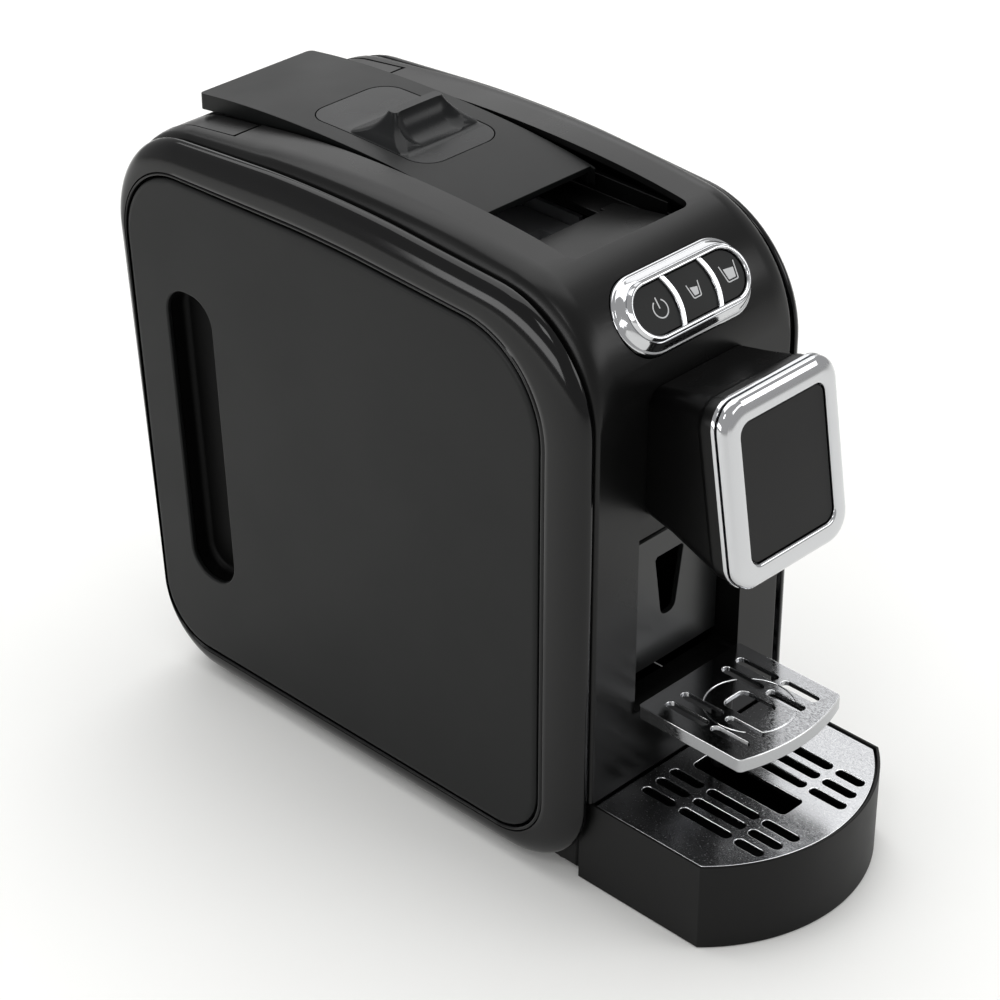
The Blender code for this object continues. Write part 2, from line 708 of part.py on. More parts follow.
def control_bezel():
    rings = []
    for length, height, rise in (
            (BEZEL_LENGTH - 1.2, BEZEL_HEIGHT - 1.2, -9), (BEZEL_LENGTH, BEZEL_HEIGHT, -7.8),
            (BEZEL_LENGTH, BEZEL_HEIGHT, 1.6), (37.4, 15.9, 4.6), (35.6, 14.2, 6.9),
            (33.6, 12.3, BEZEL_RISE)):
        rings.append([(p.x, p.y, rise) for p in stadium(length, height)])
    bezel = loft("control_bezel", rings)
    bezel.data.transform(slope_frame())
    for index in range(3):
        cut(bezel, slope_prism("bezel_key_hole_%d" % index, key_outline(index), -20, 20))
    return finish(bezel, chrome, (0, *PANEL_CENTRE))


def buttons():
    names = ("button_power", "button_small_cup", "button_large_cup")
    for index, name in enumerate(names):
        outline = shrink(key_outline(index), KEY_CLEARANCE)
        button = slope_prism(name, outline, -6, BEZEL_RISE - 1.6)
        middle = sum((p.x for p in outline), 0.0) / len(outline)
        pivot = slope_frame() @ Vector((middle * MM, 0, 0)) / MM
        finish(button, satin_black, pivot)


def control_board():
    board = prism("control_board", [rounded_box(-33, 33, -13, 13, 2, 2)], "Z", -13.6, -12.0)
    for index, x in enumerate((-21.5, 0.5, 23)):
        switch = box("tact_switch_%d" % index, (x - 3, x + 3), (-3, 3), (-12.6, -8.2))
        unite(board, switch)
        switch.data.transform(slope_frame())
    board.data.transform(slope_frame())
    return finish(board, laminate)


# -------------------------------------------------------------- spout head
def face_frame():
    return (Matrix.Translation(Vector((0, *FACE_CENTRE)) * MM)
            @ Matrix.Rotation(math.pi / 2 - HEAD_TILT, 4, "X"))


def face_ring(half_width, half_height, radius, depth, steps=4):
    outline = rounded_box(-half_width, half_width, -half_height, half_height, radius, steps)
    return [face_frame() @ Vector((p.x * MM, p.y * MM, depth * MM)) / MM for p in outline]


def root_ring(half_width, half_height, radius, y, steps=4):
    outline = rounded_box(-half_width, half_width, 200 - half_height, 200 + half_height,
                          radius, steps)
    return [(p.x, y, p.y) for p in outline]


def head_housing():
    width, height = FRAME_HALF
    root_width, root_height = HEAD_ROOT
    head = loft("head_housing", [
        root_ring(root_width, root_height, 8, SHELL_FRONT - GAP),
        root_ring(root_width + 1.2, root_height + 2.6, 9, -113),
        face_ring(width - 1.8, height - 2.0, 11, -FRAME_DEPTH - 6),
        face_ring(width - 1.2, height - 1.4, 11.5, -FRAME_DEPTH - GAP)])
    hollow = loft("head_hollow", [
        root_ring(root_width - 3, root_height - 3, 6, SHELL_FRONT + 5),
        root_ring(root_width - 2.5, root_height - 1.5, 6, -113),
        face_ring(width - 5, height - 6, 8, -FRAME_DEPTH - 4)])
    outlet = cylinder("head_outlet", (0, SPOUT_Y, 160), "Z", 9.4, 40, 20)
    cut(head, hollow, outlet)
    return finish(head, satin_black)


def head_bezel():
    width, height = FRAME_HALF
    inner_width, inner_height = FACE_HALF
    rings = [
        face_ring(width, height, 12, -FRAME_DEPTH),
        face_ring(width, height, 12, -4.6),
        face_ring(width - 1.4, height - 1.4, 11, -3.2),
        face_ring(width - 3.4, height - 3.4, 9.6, -0.4),
        face_ring(width - 6.2, height - 6.2, 8, 1.0),
        face_ring(inner_width + GAP, inner_height + GAP, 5.3, 0.6)]
    frame = loft("head_bezel", rings)
    opening = loft("head_bezel_opening", [
        face_ring(inner_width + GAP, inner_height + GAP, 5.3, -4.2),
        face_ring(inner_width + GAP, inner_height + GAP, 5.3, 8)])
    pocket = loft("head_bezel_pocket", [
        face_ring(inner_width - 3, inner_height - 3, 4, -20),
        face_ring(inner_width - 3, inner_height - 3, 4, 8)])
    cut(frame, opening, pocket)
    return finish(frame, chrome, (0, *FACE_CENTRE))


def face_plate():
    width, height = FACE_HALF
    plate = loft("face_plate", [
        face_ring(width, height, 5, -4.2 + GAP), face_ring(width, height, 5, -0.5),
        face_ring(width - 0.6, height - 0.6, 4.4, 0)])
    return finish(plate, satin_black, (0, *FACE_CENTRE))


def spout():
    tip = turned("spout", [
        (0, 26), (11.5, 26), (11.5, 23), (9.0, 17), (9.0, 4), (7.2, 0), (4.2, 0), (4.2, 12), (0, 12)],
        (0, SPOUT_Y, SPOUT_TIP), "Z", 20)
    return finish(tip, matte_black, (0, SPOUT_Y, SPOUT_TIP))


# ------------------------------------------------- used-pod bin, cup tray
def pod_bin():
    half = ALCOVE_HALF - 0.6
    container = box("pod_bin", (-half, half), (ALCOVE_BACK - 2.6, BIN_REAR), (BIN_BOTTOM, BIN_TOP))
    shoulder_left = box("bin_shoulder_left", (-half - 2, -half + 1.4),
                        (ALCOVE_BACK + 0.6, 20), (BIN_BOTTOM - 2, BIN_TOP + 2))
    shoulder_right = box("bin_shoulder_right", (half - 1.4, half + 2),
                         (ALCOVE_BACK + 0.6, 20), (BIN_BOTTOM - 2, BIN_TOP + 2))
    hollow = box("bin_hollow", (-half + 3.4, half - 3.4), (ALCOVE_BACK, BIN_REAR - 2),
                 (BIN_BOTTOM + 2, BIN_TOP + 10))
    finger_slot = prism("bin_finger_slot", [rounded([
        (-9.0, 137, 1.2, 1), (9.0, 137, 1.2, 1), (4.2, 106, 4.0, 3), (-4.2, 106, 4.0, 3)])],
        "Y", -100, -70)
    soften(container, 0.8)
    cut(container, shoulder_left, shoulder_right, hollow, finger_slot)
    return finish(container, satin_black, (0, ALCOVE_BACK, BIN_BOTTOM))


def cup_slots():
    slots = []
    for x in (-22.5, -13.2, 13.2, 22.5):
        slots.append(capsule(x, -119.5, 22.0, 4.6, 3))
        slots.append(capsule(x, -143.0, 19.5, 4.6, 3))
    return slots


def cup_tray():
    outline = bowed_outline(31.4, 33.0, -101.0, -156.6, -163.1, 8)
    well = rounded_box(-7.2, 7.2, -144.0, -124.9, 3.5, 3)
    tray = prism("cup_tray", [outline], "Z", CUP_TRAY_TOP - CUP_TRAY_EDGE, CUP_TRAY_TOP)
    holes = prism("cup_tray_holes", [well, *cup_slots()], "Z", CUP_TRAY_TOP - 12,
                  CUP_TRAY_TOP + 5)
    underside = prism("cup_tray_underside", [shrink(outline, 2.2)], "Z",
                      CUP_TRAY_TOP - 20, CUP_TRAY_TOP - 2.4)
    tongue = box("cup_tray_tongue", (-28, 28), (-102.1, -88.5), (76.4, 78.2))
    cut(tray, underside, holes)
    unite(tray, tongue)
    return finish(tray, satin_steel, (0, -101, CUP_TRAY_TOP))


def cup_tray_drain():
    peg = turned("cup_tray_drain", [
        (0, 36.0), (4.4, 36.0), (4.4, 6), (3.4, 1.5), (2.2, 0), (0, 0)],
        (0, -119.5, 42.3), "Z", 16)
    return finish(peg, satin_black, (0, -119.5, 42.3))


# ------------------------------------------------------ drip tray, grille
def drip_tray():
    def level(grow, z):
        outline = bowed_outline(TRAY_HALF + grow, TRAY_HALF + grow, TRAY_REAR,
                                TRAY_CORNER, TRAY_FRONT, 14)
        return [(p.x, p.y, z) for p in outline]

    tray = loft("drip_tray", [level(-1.4, 0.0), level(-0.4, 1.0), level(0.8, TRAY_RIM - 0.6),
                              level(0.3, TRAY_RIM)])
    outline = bowed_outline(TRAY_HALF, TRAY_HALF, TRAY_REAR, TRAY_CORNER, TRAY_FRONT, 14)
    hollow = prism("tray_hollow", [shrink(outline, TRAY_WALL + 1.2)], "Z", 2.5, 60)
    ledge = prism("tray_ledge", [shrink(outline, TRAY_WALL)], "Z",
                  GRILLE_TOP - GRILLE_THICK - GAP, 60)
    cut(tray, hollow, ledge)
    return finish(tray, matte_black, (0, TRAY_CORNER, 0))


def drip_grille():
    outline = bowed_outline(GRILLE_HALF, GRILLE_HALF, SHELL_FRONT - 0.4, -156.6, -179.4, 12)
    holes = [rounded_box(-6.9, 6.9, -160.8, -110.0, 2.5, 2)]
    for x in (-33.2, -24.3, -15.4, 15.4, 24.3, 33.2):
        front = -177.2 + abs(x) ** 2 / 200
        holes.append(capsule(x, -114.8, 17.6, 5.0, 3))
        holes.append(capsule(x, -140.6, 27.6, 5.0, 3))
        holes.append(capsule(x, (-157.2 + front) / 2, -157.2 - front, 5.0, 3))
    grille = prism("drip_grille", [outline, *holes], "Z", GRILLE_TOP - GRILLE_THICK, GRILLE_TOP)
    return finish(grille, satin_steel, (0, -140, GRILLE_TOP))


# ---------------------------------------------------------- inner workings
def frame_plates():
    for side, sign in (("left", -1), ("right", 1)):
        plate = box("frame_plate_" + side, sorted((sign * 33.8, sign * 36.2)), (-2, 108),
                    (BASE_BOTTOM + 3 + GAP, 250))
        holes = [cylinder("frame_hole_%s_%d" % (side, index), (sign * 35, y, z), "X", radius, 10, 16)
                 for index, (y, z, radius) in enumerate(((30, 110, 18), (82, 110, 18), (53, 60, 16)))]
        finish(cut(plate, *holes), nylon_grey)


def brew_housing():
    housing = box("brew_housing", (-33.2, 33.2), (-48, 60), (178, 246))
    chamber = cylinder("brew_chamber", (0, 20, 212), "Y", 19.5, 100, 24)
    drop = box("brew_drop", (-POD_HOLE_HALF, POD_HOLE_HALF), POD_HOLE, (150, 290))
    outlet = cylinder("brew_outlet", (0, -40, 205), "Y", 3.6, 40, 12)
    soften(housing, 2.0)
    cut(housing, chamber, drop, outlet)
    return finish(housing, nylon_grey)


def brew_piston():
    piston = turned("brew_piston", [
        (0, 20), (6, 20), (6, 6), (18.9, 6), (18.9, -16), (15, -18), (0, -18)],
        (0, 30, 212), "Y", 24)
    return finish(piston, white_nylon, (0, 30, 212))


def extraction_plate():
    plate = cylinder("extraction_plate", (0, -27.9 - 0.2, 212), "Y", 19.0, 3.0, 24)
    return finish(plate, satin_steel, (0, -28.1, 212))


def thermoblock():
    block = box("thermoblock", (-30, 30), (64, 106), (170, 222))
    fins = [box("thermo_gap_%d" % index, (x - 3, x + 3), (60, 110), (214, 240))
            for index, x in enumerate((-18, 0, 18))]
    soften(block, 2.5)
    return finish(cut(block, *fins), aluminium)


def pump():
    body = turned("pump", [
        (0, 40), (4, 40), (4, 30), (12, 30), (12, 24), (17.5, 24), (17.5, -20), (12, -20),
        (12, -26), (5, -26), (5, -36), (0, -36)], (-12, 56, 42), "Y", 20)
    return finish(body, zinc_steel, (-12, 56, 42))


def pump_saddles():
    for end, y in (("front", 40), ("rear", 70)):
        saddle = box("pump_saddle_" + end, (-31, 7), (y - 3, y + 3),
                     (BASE_BOTTOM + 3 + GAP, 36))
        seat = cylinder("saddle_seat_" + end, (-12, y, 42), "Y", 17.9, 20, 20)
        finish(cut(saddle, seat), rubber)


def flow_meter():
    body = turned("flow_meter", [(0, 16), (11, 16), (11, 0), (0, 0)],
                  (20, 88, BASE_BOTTOM + 3 + GAP), "Z", 16)
    return finish(body, white_nylon, (20, 88, 5.1))


def hoses():
    finish(tube("hose_tank_to_meter", [
        (0, 108.4, 46), (2, 102, 46), (10, 95, 38), (19, 89, 30), (20, 88, 25), (20, 88, 21.5)], 2.6), silicone)
    finish(tube("hose_meter_to_pump", [
        (20, 76.6, 12), (19, 70, 12), (13, 55, 11), (12, 32, 13), (4, 17, 22), (-8, 11.5, 35),
        (-12, 14, 42), (-12, 19.6, 42)], 2.6), silicone)
    finish(tube("hose_pump_to_block", [
        (-12, 96.4, 42), (-12, 103, 42), (-13, 109.4, 52), (-15, 109.4, 75), (-18, 100, 110),
        (-20, 90, 140), (-20, 85, 169.4)], 2.6), silicone)
    finish(tube("pipe_block_to_brewer", [
        (20, 70, 222.4), (20, 70, 232), (16, 66, 240), (9, 60.6, 248.0), (4, 57, 251)], 2.2),
        silicone)
    finish(tube("pipe_brewer_to_spout", [
        (0, -48.4, 205), (0, -60, 205), (0, -95, 205), (0, -116, 203), (0, -124, 196),
        (0, SPOUT_Y, 188), (0, SPOUT_Y, 180.6)], 3.0), silicone)


def power_board():
    board = box("power_board", (41, 42.6), (10, 100), (60, 160))
    parts = [box("power_relay", (42, 52), (24, 46), (90, 112)),
             cylinder("power_capacitor", (48, 78, 120), "X", 9, 13, 16)]
    return finish(unite(board, *parts), laminate)


base_chassis()
feet()
centre_shell()
for side_name, side_sign in (("left", -1), ("right", 1)):
    side_cover("side_cover_" + side_name, side_sign)
    side_panel("side_panel_" + side_name, side_sign)
lid_track()
sliding_lid()
lid_grip()
tank_body()
tank_lid()
tank_valve()
tank_bay()
rear_panel()
power_inlet()
rear_screws()
control_bezel()
buttons()
control_board()
head_housing()
head_bezel()
face_plate()
spout()
pod_bin()
cup_tray()
cup_tray_drain()
drip_tray()
drip_grille()
frame_plates()
brew_housing()
brew_piston()
extraction_plate()
thermoblock()
pump()
pump_saddles()
flow_meter()
hoses()
power_board()
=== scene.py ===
import json
import math
import bpy
import bmesh
from mathutils import Matrix, Vector


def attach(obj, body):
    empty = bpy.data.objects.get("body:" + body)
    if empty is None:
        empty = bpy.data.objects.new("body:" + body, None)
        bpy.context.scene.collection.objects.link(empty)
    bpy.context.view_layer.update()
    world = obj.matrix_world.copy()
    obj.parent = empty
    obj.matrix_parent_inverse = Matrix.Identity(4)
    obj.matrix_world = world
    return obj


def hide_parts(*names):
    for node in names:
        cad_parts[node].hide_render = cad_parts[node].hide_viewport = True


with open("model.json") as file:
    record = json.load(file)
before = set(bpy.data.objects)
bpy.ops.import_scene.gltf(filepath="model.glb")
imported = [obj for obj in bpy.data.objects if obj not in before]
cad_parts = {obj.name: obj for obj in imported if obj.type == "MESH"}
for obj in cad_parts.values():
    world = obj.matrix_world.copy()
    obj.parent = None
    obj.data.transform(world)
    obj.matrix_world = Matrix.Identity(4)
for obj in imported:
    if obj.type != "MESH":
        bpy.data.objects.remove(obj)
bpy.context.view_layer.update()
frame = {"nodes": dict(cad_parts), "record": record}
nodes = frame["nodes"]
slotOf = {part["node"]: part["material_slot"] for part in frame["record"]["subparts"]}
bodyOf = {}
for bodyName, members in frame["record"]["behaviour"]["bodies"].items():
    for member in members:
        bodyOf[member] = bodyName
mm = 0.001
mergeDistance = 0.001 * mm
print("frame loaded:", len(nodes), "nodes")

# camera, floor and light
cameraSettings = {"place": (-0.8115, -0.7813, 0.8187), "forward": (0.6088, 0.5948, -0.5250),
                  "lens": 109.0, "sensor": 36.0}
studioSettings = {"floorSize": 8.0, "floorLevel": -0.0004, "floorColour": "#f4f4f2",
                  "floorRoughness": 0.9, "worldColour": "#ffffff", "worldStrength": 0.5}
lampSettings = {
    "topSoftbox": {"place": (0.4, 0.6, 1.9), "aim": (0, 0, 0.1), "size": (2.4, 2.0), "power": 31},
    "rearSoftbox": {"place": (1.6, 1.5, 1.15), "aim": (0, 0, 0.25), "size": (1.6, 0.9),
                    "power": 5},
    "leftSoftbox": {"place": (-1.9, 0.35, 0.55), "aim": (0, 0.05, 0.2), "size": (1.9, 0.5),
                    "power": 12},
    "highSoftbox": {"place": (-1.1, -0.6, 1.65), "aim": (0, -0.05, 0.2), "size": (0.45, 0.45),
                    "power": 3},
    "frontSoftbox": {"place": (1.0, -1.7, 1.1), "aim": (0, -0.1, 0.1), "size": (1.4, 0.7),
                     "power": 10}}


def linearColour(hexText):
    parts = [int(hexText[i:i + 2], 16) / 255 for i in (1, 3, 5)]
    return (*[p / 12.92 if p <= 0.04045 else ((p + 0.055) / 1.055) ** 2.4 for p in parts], 1.0)


def aimAt(thing, place, aim):
    thing.location = Vector(place)
    thing.rotation_euler = (Vector(aim) - Vector(place)).to_track_quat("-Z", "Y").to_euler()


cameraData = bpy.data.cameras.new("studioCamera")
cameraData.lens = cameraSettings["lens"]
cameraData.sensor_width = cameraSettings["sensor"]
camera = bpy.data.objects.new("studioCamera", cameraData)
bpy.context.scene.collection.objects.link(camera)
aimAt(camera, cameraSettings["place"],
      Vector(cameraSettings["place"]) + Vector(cameraSettings["forward"]))
bpy.context.scene.camera = camera

world = bpy.data.worlds.new("paleStudio")
world.use_nodes = True
world.node_tree.nodes["Background"].inputs["Color"].default_value = linearColour(
    studioSettings["worldColour"])
world.node_tree.nodes["Background"].inputs["Strength"].default_value = studioSettings[
    "worldStrength"]
bpy.context.scene.world = world
bpy.context.scene.view_settings.view_transform = "Standard"

for lampName, lamp in lampSettings.items():
    lampData = bpy.data.lights.new(lampName, "AREA")
    lampData.shape = "RECTANGLE"
    lampData.size, lampData.size_y = lamp["size"]
    lampData.energy = lamp["power"]
    lampObject = bpy.data.objects.new(lampName, lampData)
    bpy.context.scene.collection.objects.link(lampObject)
    aimAt(lampObject, lamp["place"], lamp["aim"])
print("camera and light ready")


# materials
def addNode(tree, kind, settings=None, links=None):
    node = tree.nodes.new(kind)
    for key, value in (settings or {}).items():
        if key in node.inputs:
            node.inputs[key].default_value = value
        else:
            setattr(node, key, value)
    for key, socket in (links or {}).items():
        tree.links.new(socket, node.inputs[key])
    return node


def startMaterial(name, colour, roughness, metallic=0.0, extra=None):
    made = bpy.data.materials.new(name)
    made.use_nodes = True
    tree = made.node_tree
    shader = tree.nodes["Principled BSDF"]
    shader.inputs["Base Color"].default_value = linearColour(colour)
    shader.inputs["Roughness"].default_value = roughness
    shader.inputs["Metallic"].default_value = metallic
    for key, value in (extra or {}).items():
        shader.inputs[key].default_value = value
    place = addNode(tree, "ShaderNodeTexCoord").outputs["Object"]
    return made, tree, shader, place


def mouldedPlastic(name, colour, paler, roughness, grain, grainDepth, extra=None, mottle=0.04):
    # grain is the size of one grain of the mould's texture in mm
    made, tree, shader, place = startMaterial(name, colour, roughness, 0.0, extra)
    cloud = addNode(tree, "ShaderNodeTexNoise", {"Scale": 1 / (45 * mm), "Detail": 3.0},
                    {"Vector": place})
    tint = addNode(tree, "ShaderNodeMix", {"data_type": "RGBA"}, {"Factor": cloud.outputs["Fac"]})
    tint.inputs[6].default_value = linearColour(colour)
    tint.inputs[7].default_value = linearColour(paler)
    tree.links.new(tint.outputs[2], shader.inputs["Base Color"])
    speck = addNode(tree, "ShaderNodeTexNoise", {"Scale": 1 / (grain * mm), "Detail": 2.0},
                    {"Vector": place})
    sheen = addNode(tree, "ShaderNodeMapRange",
                    {"From Min": 0.3, "From Max": 0.7, "To Min": roughness - mottle,
                     "To Max": roughness + mottle}, {"Value": cloud.outputs["Fac"]})
    tree.links.new(sheen.outputs["Result"], shader.inputs["Roughness"])
    bump = addNode(tree, "ShaderNodeBump", {"Strength": grainDepth, "Distance": 0.05 * mm},
                   {"Height": speck.outputs["Fac"]})
    tree.links.new(bump.outputs["Normal"], shader.inputs["Normal"])
    return made


def platedMetal(name, colour, roughness, smudge):
    made, tree, shader, place = startMaterial(name, colour, roughness, 1.0)
    cloud = addNode(tree, "ShaderNodeTexNoise", {"Scale": 1 / (18 * mm), "Detail": 4.0},
                    {"Vector": place})
    film = addNode(tree, "ShaderNodeMapRange",
                   {"From Min": 0.35, "From Max": 0.75, "To Min": roughness,
                    "To Max": roughness + smudge}, {"Value": cloud.outputs["Fac"]})
    tree.links.new(film.outputs["Result"], shader.inputs["Roughness"])
    wave = addNode(tree, "ShaderNodeTexNoise", {"Scale": 1 / (9 * mm), "Detail": 1.0},
                   {"Vector": place})
    bump = addNode(tree, "ShaderNodeBump", {"Strength": 0.03, "Distance": 0.1 * mm},
                   {"Height": wave.outputs["Fac"]})
    tree.links.new(bump.outputs["Normal"], shader.inputs["Normal"])
    return made


def brushedMetal(name, colour, darker, roughness, stroke, depth, anisotropy):
    # stroke gives the size of one mark in mm, across X and along Y
    made, tree, shader, place = startMaterial(name, colour, roughness, 1.0,
                                              {"Anisotropic": anisotropy})
    lines = addNode(tree, "ShaderNodeMapping",
                    {"Scale": (1 / (stroke[0] * mm), 1 / (stroke[1] * mm), 1 / (stroke[0] * mm))},
                    {"Vector": place})
    scratch = addNode(tree, "ShaderNodeTexNoise", {"Scale": 1.0, "Detail": 3.0},
                      {"Vector": lines.outputs["Vector"]})
    tone = addNode(tree, "ShaderNodeMix", {"data_type": "RGBA"}, {"Factor": scratch.outputs["Fac"]})
    tone.inputs[6].default_value = linearColour(darker)
    tone.inputs[7].default_value = linearColour(colour)
    tree.links.new(tone.outputs[2], shader.inputs["Base Color"])
    polish = addNode(tree, "ShaderNodeMapRange",
                     {"From Min": 0.3, "From Max": 0.7, "To Min": roughness - 0.06,
                      "To Max": roughness + 0.08}, {"Value": scratch.outputs["Fac"]})
    tree.links.new(polish.outputs["Result"], shader.inputs["Roughness"])
    bump = addNode(tree, "ShaderNodeBump", {"Strength": depth, "Distance": 0.05 * mm},
                   {"Height": scratch.outputs["Fac"]})
    tree.links.new(bump.outputs["Normal"], shader.inputs["Normal"])
    return made


# the black plastics reflect less than the default, which keeps them dark under the softboxes
dim = {"Specular IOR Level": 0.2}
# satin moulded ABS: soft wide highlights with a hardly visible grain
satinAbs = mouldedPlastic("satinMouldedAbs", "#090909", "#0c0c0c", 0.3, 0.5, 0.06,
                          {"Specular IOR Level": 0.24})
# high-gloss moulded ABS: mirror-like, with the faintest unevenness
glossAbs = mouldedPlastic("highGlossAbs", "#020202", "#030304", 0.09, 7.0, 0.012,
                          {"Specular IOR Level": 0.32}, 0.012)
# fine-grain ABS: a matte skin that scatters light to a dark grey, grain drawn at 0.7 mm
grainedAbs = mouldedPlastic("fineGrainAbs", "#0d0e0e", "#101111", 0.42, 0.7, 0.12, dim)
# textured polypropylene: coarser, duller skin
texturedPp = mouldedPlastic("texturedPolypropylene", "#050505", "#080808", 0.46, 0.8, 0.22, dim)
# inner polypropylene, near black with almost no shine: painted shade for the grip recess
recessShadePp = mouldedPlastic("recessShadeInnerPolypropylene", "#020202", "#030303", 0.5, 0.9, 0.2,
                        {"Specular IOR Level": 0.1})
# satin ABS in six greys, so that neighbouring mouldings read as separate pieces; the bin's paler
# grey is painted light on its front in the alcove's shade, and the lid track's darker grey is
# painted shade on the floor under the lid
keyAbs = mouldedPlastic("satinKeyAbs", "#151616", "#181919", 0.42, 0.6, 0.05, dim)
lidAbs = mouldedPlastic("satinLidAbs", "#0b0c0c", "#0e0f0f", 0.36, 0.6, 0.06,
                        {"Specular IOR Level": 0.16})
gripAbs = mouldedPlastic("satinGripAbs", "#111213", "#141516", 0.28, 0.6, 0.06, dim)
# the lid track's darker copy of satin black is painted shade on the floor under the lid
trackShadeAbs = mouldedPlastic("satinTrackAbsPaintedShade", "#060606", "#080808", 0.3, 0.6, 0.06,
                          {"Specular IOR Level": 0.14})
# the bin front's paler grey is painted light, lifting it out of the shade in its alcove
binLightAbs = mouldedPlastic("satinBinAbsPaintedLight", "#161717", "#191a1a", 0.34, 0.6, 0.06)
headAbs = mouldedPlastic("deepBlackAbs", "#030303", "#040404", 0.3, 0.6, 0.05,
                         {"Specular IOR Level": 0.15})
faceAbs = mouldedPlastic("satinFaceAbs", "#0b0b0c", "#0e0e0f", 0.35, 0.5, 0.04, dim)
# inner mouldings: matt grey nylon, smooth white acetal and milky soft silicone
nylonGrey = mouldedPlastic("glassFilledNylon", "#86878a", "#909194", 0.5, 0.9, 0.3)
acetalWhite = mouldedPlastic("mouldedAcetal", "#dcdbd6", "#e4e3de", 0.4, 1.2, 0.1)
siliconeClear = mouldedPlastic("milkySilicone", "#d4d4d2", "#dededc", 0.35, 2.0, 0.05,
                               {"Transmission Weight": 0.25})
# moulded rubber: dull and slightly powdery
rubberBlack = mouldedPlastic("mouldedRubber", "#151515", "#1b1b1b", 0.75, 0.6, 0.3)
# smoked copolyester: dark, glossy and partly see-through
smokedTank = mouldedPlastic("smokedCopolyester", "#1b1c20", "#202126", 0.1, 12.0, 0.02,
                            {"Transmission Weight": 0.35, "IOR": 1.57})
# solder mask over laminate: even green with a low sheen
boardLaminate = mouldedPlastic("solderMaskLaminate", "#10401f", "#155026", 0.35, 1.6, 0.1)
# pad print: a thin flat pale ink
printWhite = mouldedPlastic("whitePadPrint", "#b9babb", "#c4c5c6", 0.5, 0.4, 0.1)
# chrome plate on ABS: a clear mirror with a faint film
chromePlate = platedMetal("chromePlate", "#c6c7c9", 0.07, 0.05)
# die-cast aluminium and zinc plate: grey, blurred reflections
castAluminium = platedMetal("castAluminium", "#b0b1b3", 0.42, 0.1)
zincPlate = platedMetal("zincPlate", "#a9abad", 0.32, 0.1)
# blasted and polished stainless: a fine even grain, drawn 0.6 to 1.4 mm wide so that it shows
brushedSteel = brushedMetal("blastedStainless", "#bdbec0", "#a9aaac", 0.2, (0.6, 0.9), 0.1, 0.0)
polishedSteel = brushedMetal("polishedStainless", "#b4b5b7", "#a6a7a9", 0.13, (0.7, 1.4), 0.03,
                             0.0)
# rolled steel edges: brighter than the flats
edgeSteel = platedMetal("polishedEdge", "#e6e7e9", 0.12, 0.04)

finishOfSlot = {
    "satin_black": satinAbs, "gloss_black": glossAbs, "matte_charcoal": grainedAbs,
    "matte_black": texturedPp, "chrome": chromePlate, "satin_steel": brushedSteel,
    "smoked": smokedTank, "nylon_grey": nylonGrey, "white_acetal": acetalWhite,
    "cast_aluminium": castAluminium, "zinc_steel": zincPlate, "silicone": siliconeClear,
    "black_rubber": rubberBlack, "laminate": boardLaminate}
for nodeName, nodeObject in nodes.items():
    nodeObject.data.materials.clear()
    nodeObject.data.materials.append(finishOfSlot[slotOf[nodeName]])

floorWork = bmesh.new()
bmesh.ops.create_grid(floorWork, x_segments=1, y_segments=1, size=studioSettings["floorSize"] / 2)
floorMesh = bpy.data.meshes.new("paleFloor")
floorWork.to_mesh(floorMesh)
floorWork.free()
floor = bpy.data.objects.new("paleFloor", floorMesh)
bpy.context.scene.collection.objects.link(floor)
floor.location.z = studioSettings["floorLevel"]
floorMesh.materials.append(startMaterial("paleFloorPaint", studioSettings["floorColour"],
                                         studioSettings["floorRoughness"])[0])
print("materials ready")


# modelling helpers
def finishPiece(name, bm, finish, body, stand=(), smooth=32, weighted=True):
    mesh = bpy.data.meshes.new(name)
    bm.to_mesh(mesh)
    bm.free()
    mesh.materials.append(finish)
    mesh.shade_smooth()
    mesh.set_sharp_from_angle(angle=math.radians(smooth))
    piece = bpy.data.objects.new(name, mesh)
    bpy.context.scene.collection.objects.link(piece)
    if weighted:
        even = piece.modifiers.new("evenNormals", "WEIGHTED_NORMAL")
        even.keep_sharp = True
    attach(piece, body)
    if stand:
        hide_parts(*stand)
    return piece


def ringFace(bm, corners, place, segments):
    # a face with the given corners, each rounded by its radius
    before = set(bm.faces)
    verts = [bm.verts.new(place(a, b)) for a, b, radius in corners]
    bm.faces.new(verts)
    count = len(corners)
    for index, vert in enumerate(verts):
        here = Vector(corners[index][:2])
        radius = corners[index][2]
        toBefore = Vector(corners[index - 1][:2]) - here
        toAfter = Vector(corners[(index + 1) % count][:2]) - here
        reach = radius / math.tan(toBefore.angle(toAfter) / 2)
        if radius > 0:
            bmesh.ops.bevel(bm, geom=[vert], offset=reach * mm, offset_type="OFFSET",
                            segments=segments[index] if isinstance(segments, list) else segments,
                            profile=0.5, affect="VERTICES", clamp_overlap=False, material=-1)
    return next(face for face in bm.faces if face not in before)


def loftRings(bm, rings, capStart=True, capEnd=True, closed=False):
    # rings is a list of (corners, place, segments); each is joined to the next
    loops = []
    for index, (corners, place, segments) in enumerate(rings):
        face = ringFace(bm, corners, place, segments)
        edges = list(face.edges)
        keep = (index == 0 and capStart) or (index == len(rings) - 1 and capEnd)
        if closed or not keep:
            bmesh.ops.delete(bm, geom=[face], context="FACES_ONLY")
        loops.append(edges)
    pairs = list(zip(loops, loops[1:]))
    if closed:
        pairs.append((loops[-1], loops[0]))
    for lower, upper in pairs:
        bmesh.ops.bridge_loops(bm, edges=lower + upper)
    bmesh.ops.remove_doubles(bm, verts=bm.verts, dist=mergeDistance)
    bmesh.ops.recalc_face_normals(bm, faces=bm.faces)
    return bm


def onSide(x):
    return lambda y, z: (x * mm, y * mm, z * mm)


def onLevel(z):
    return lambda x, y: (x * mm, y * mm, z * mm)


def mixCorners(first, second, share):
    return [tuple(a + (b - a) * share for a, b in zip(one, two)) for one, two in zip(first, second)]


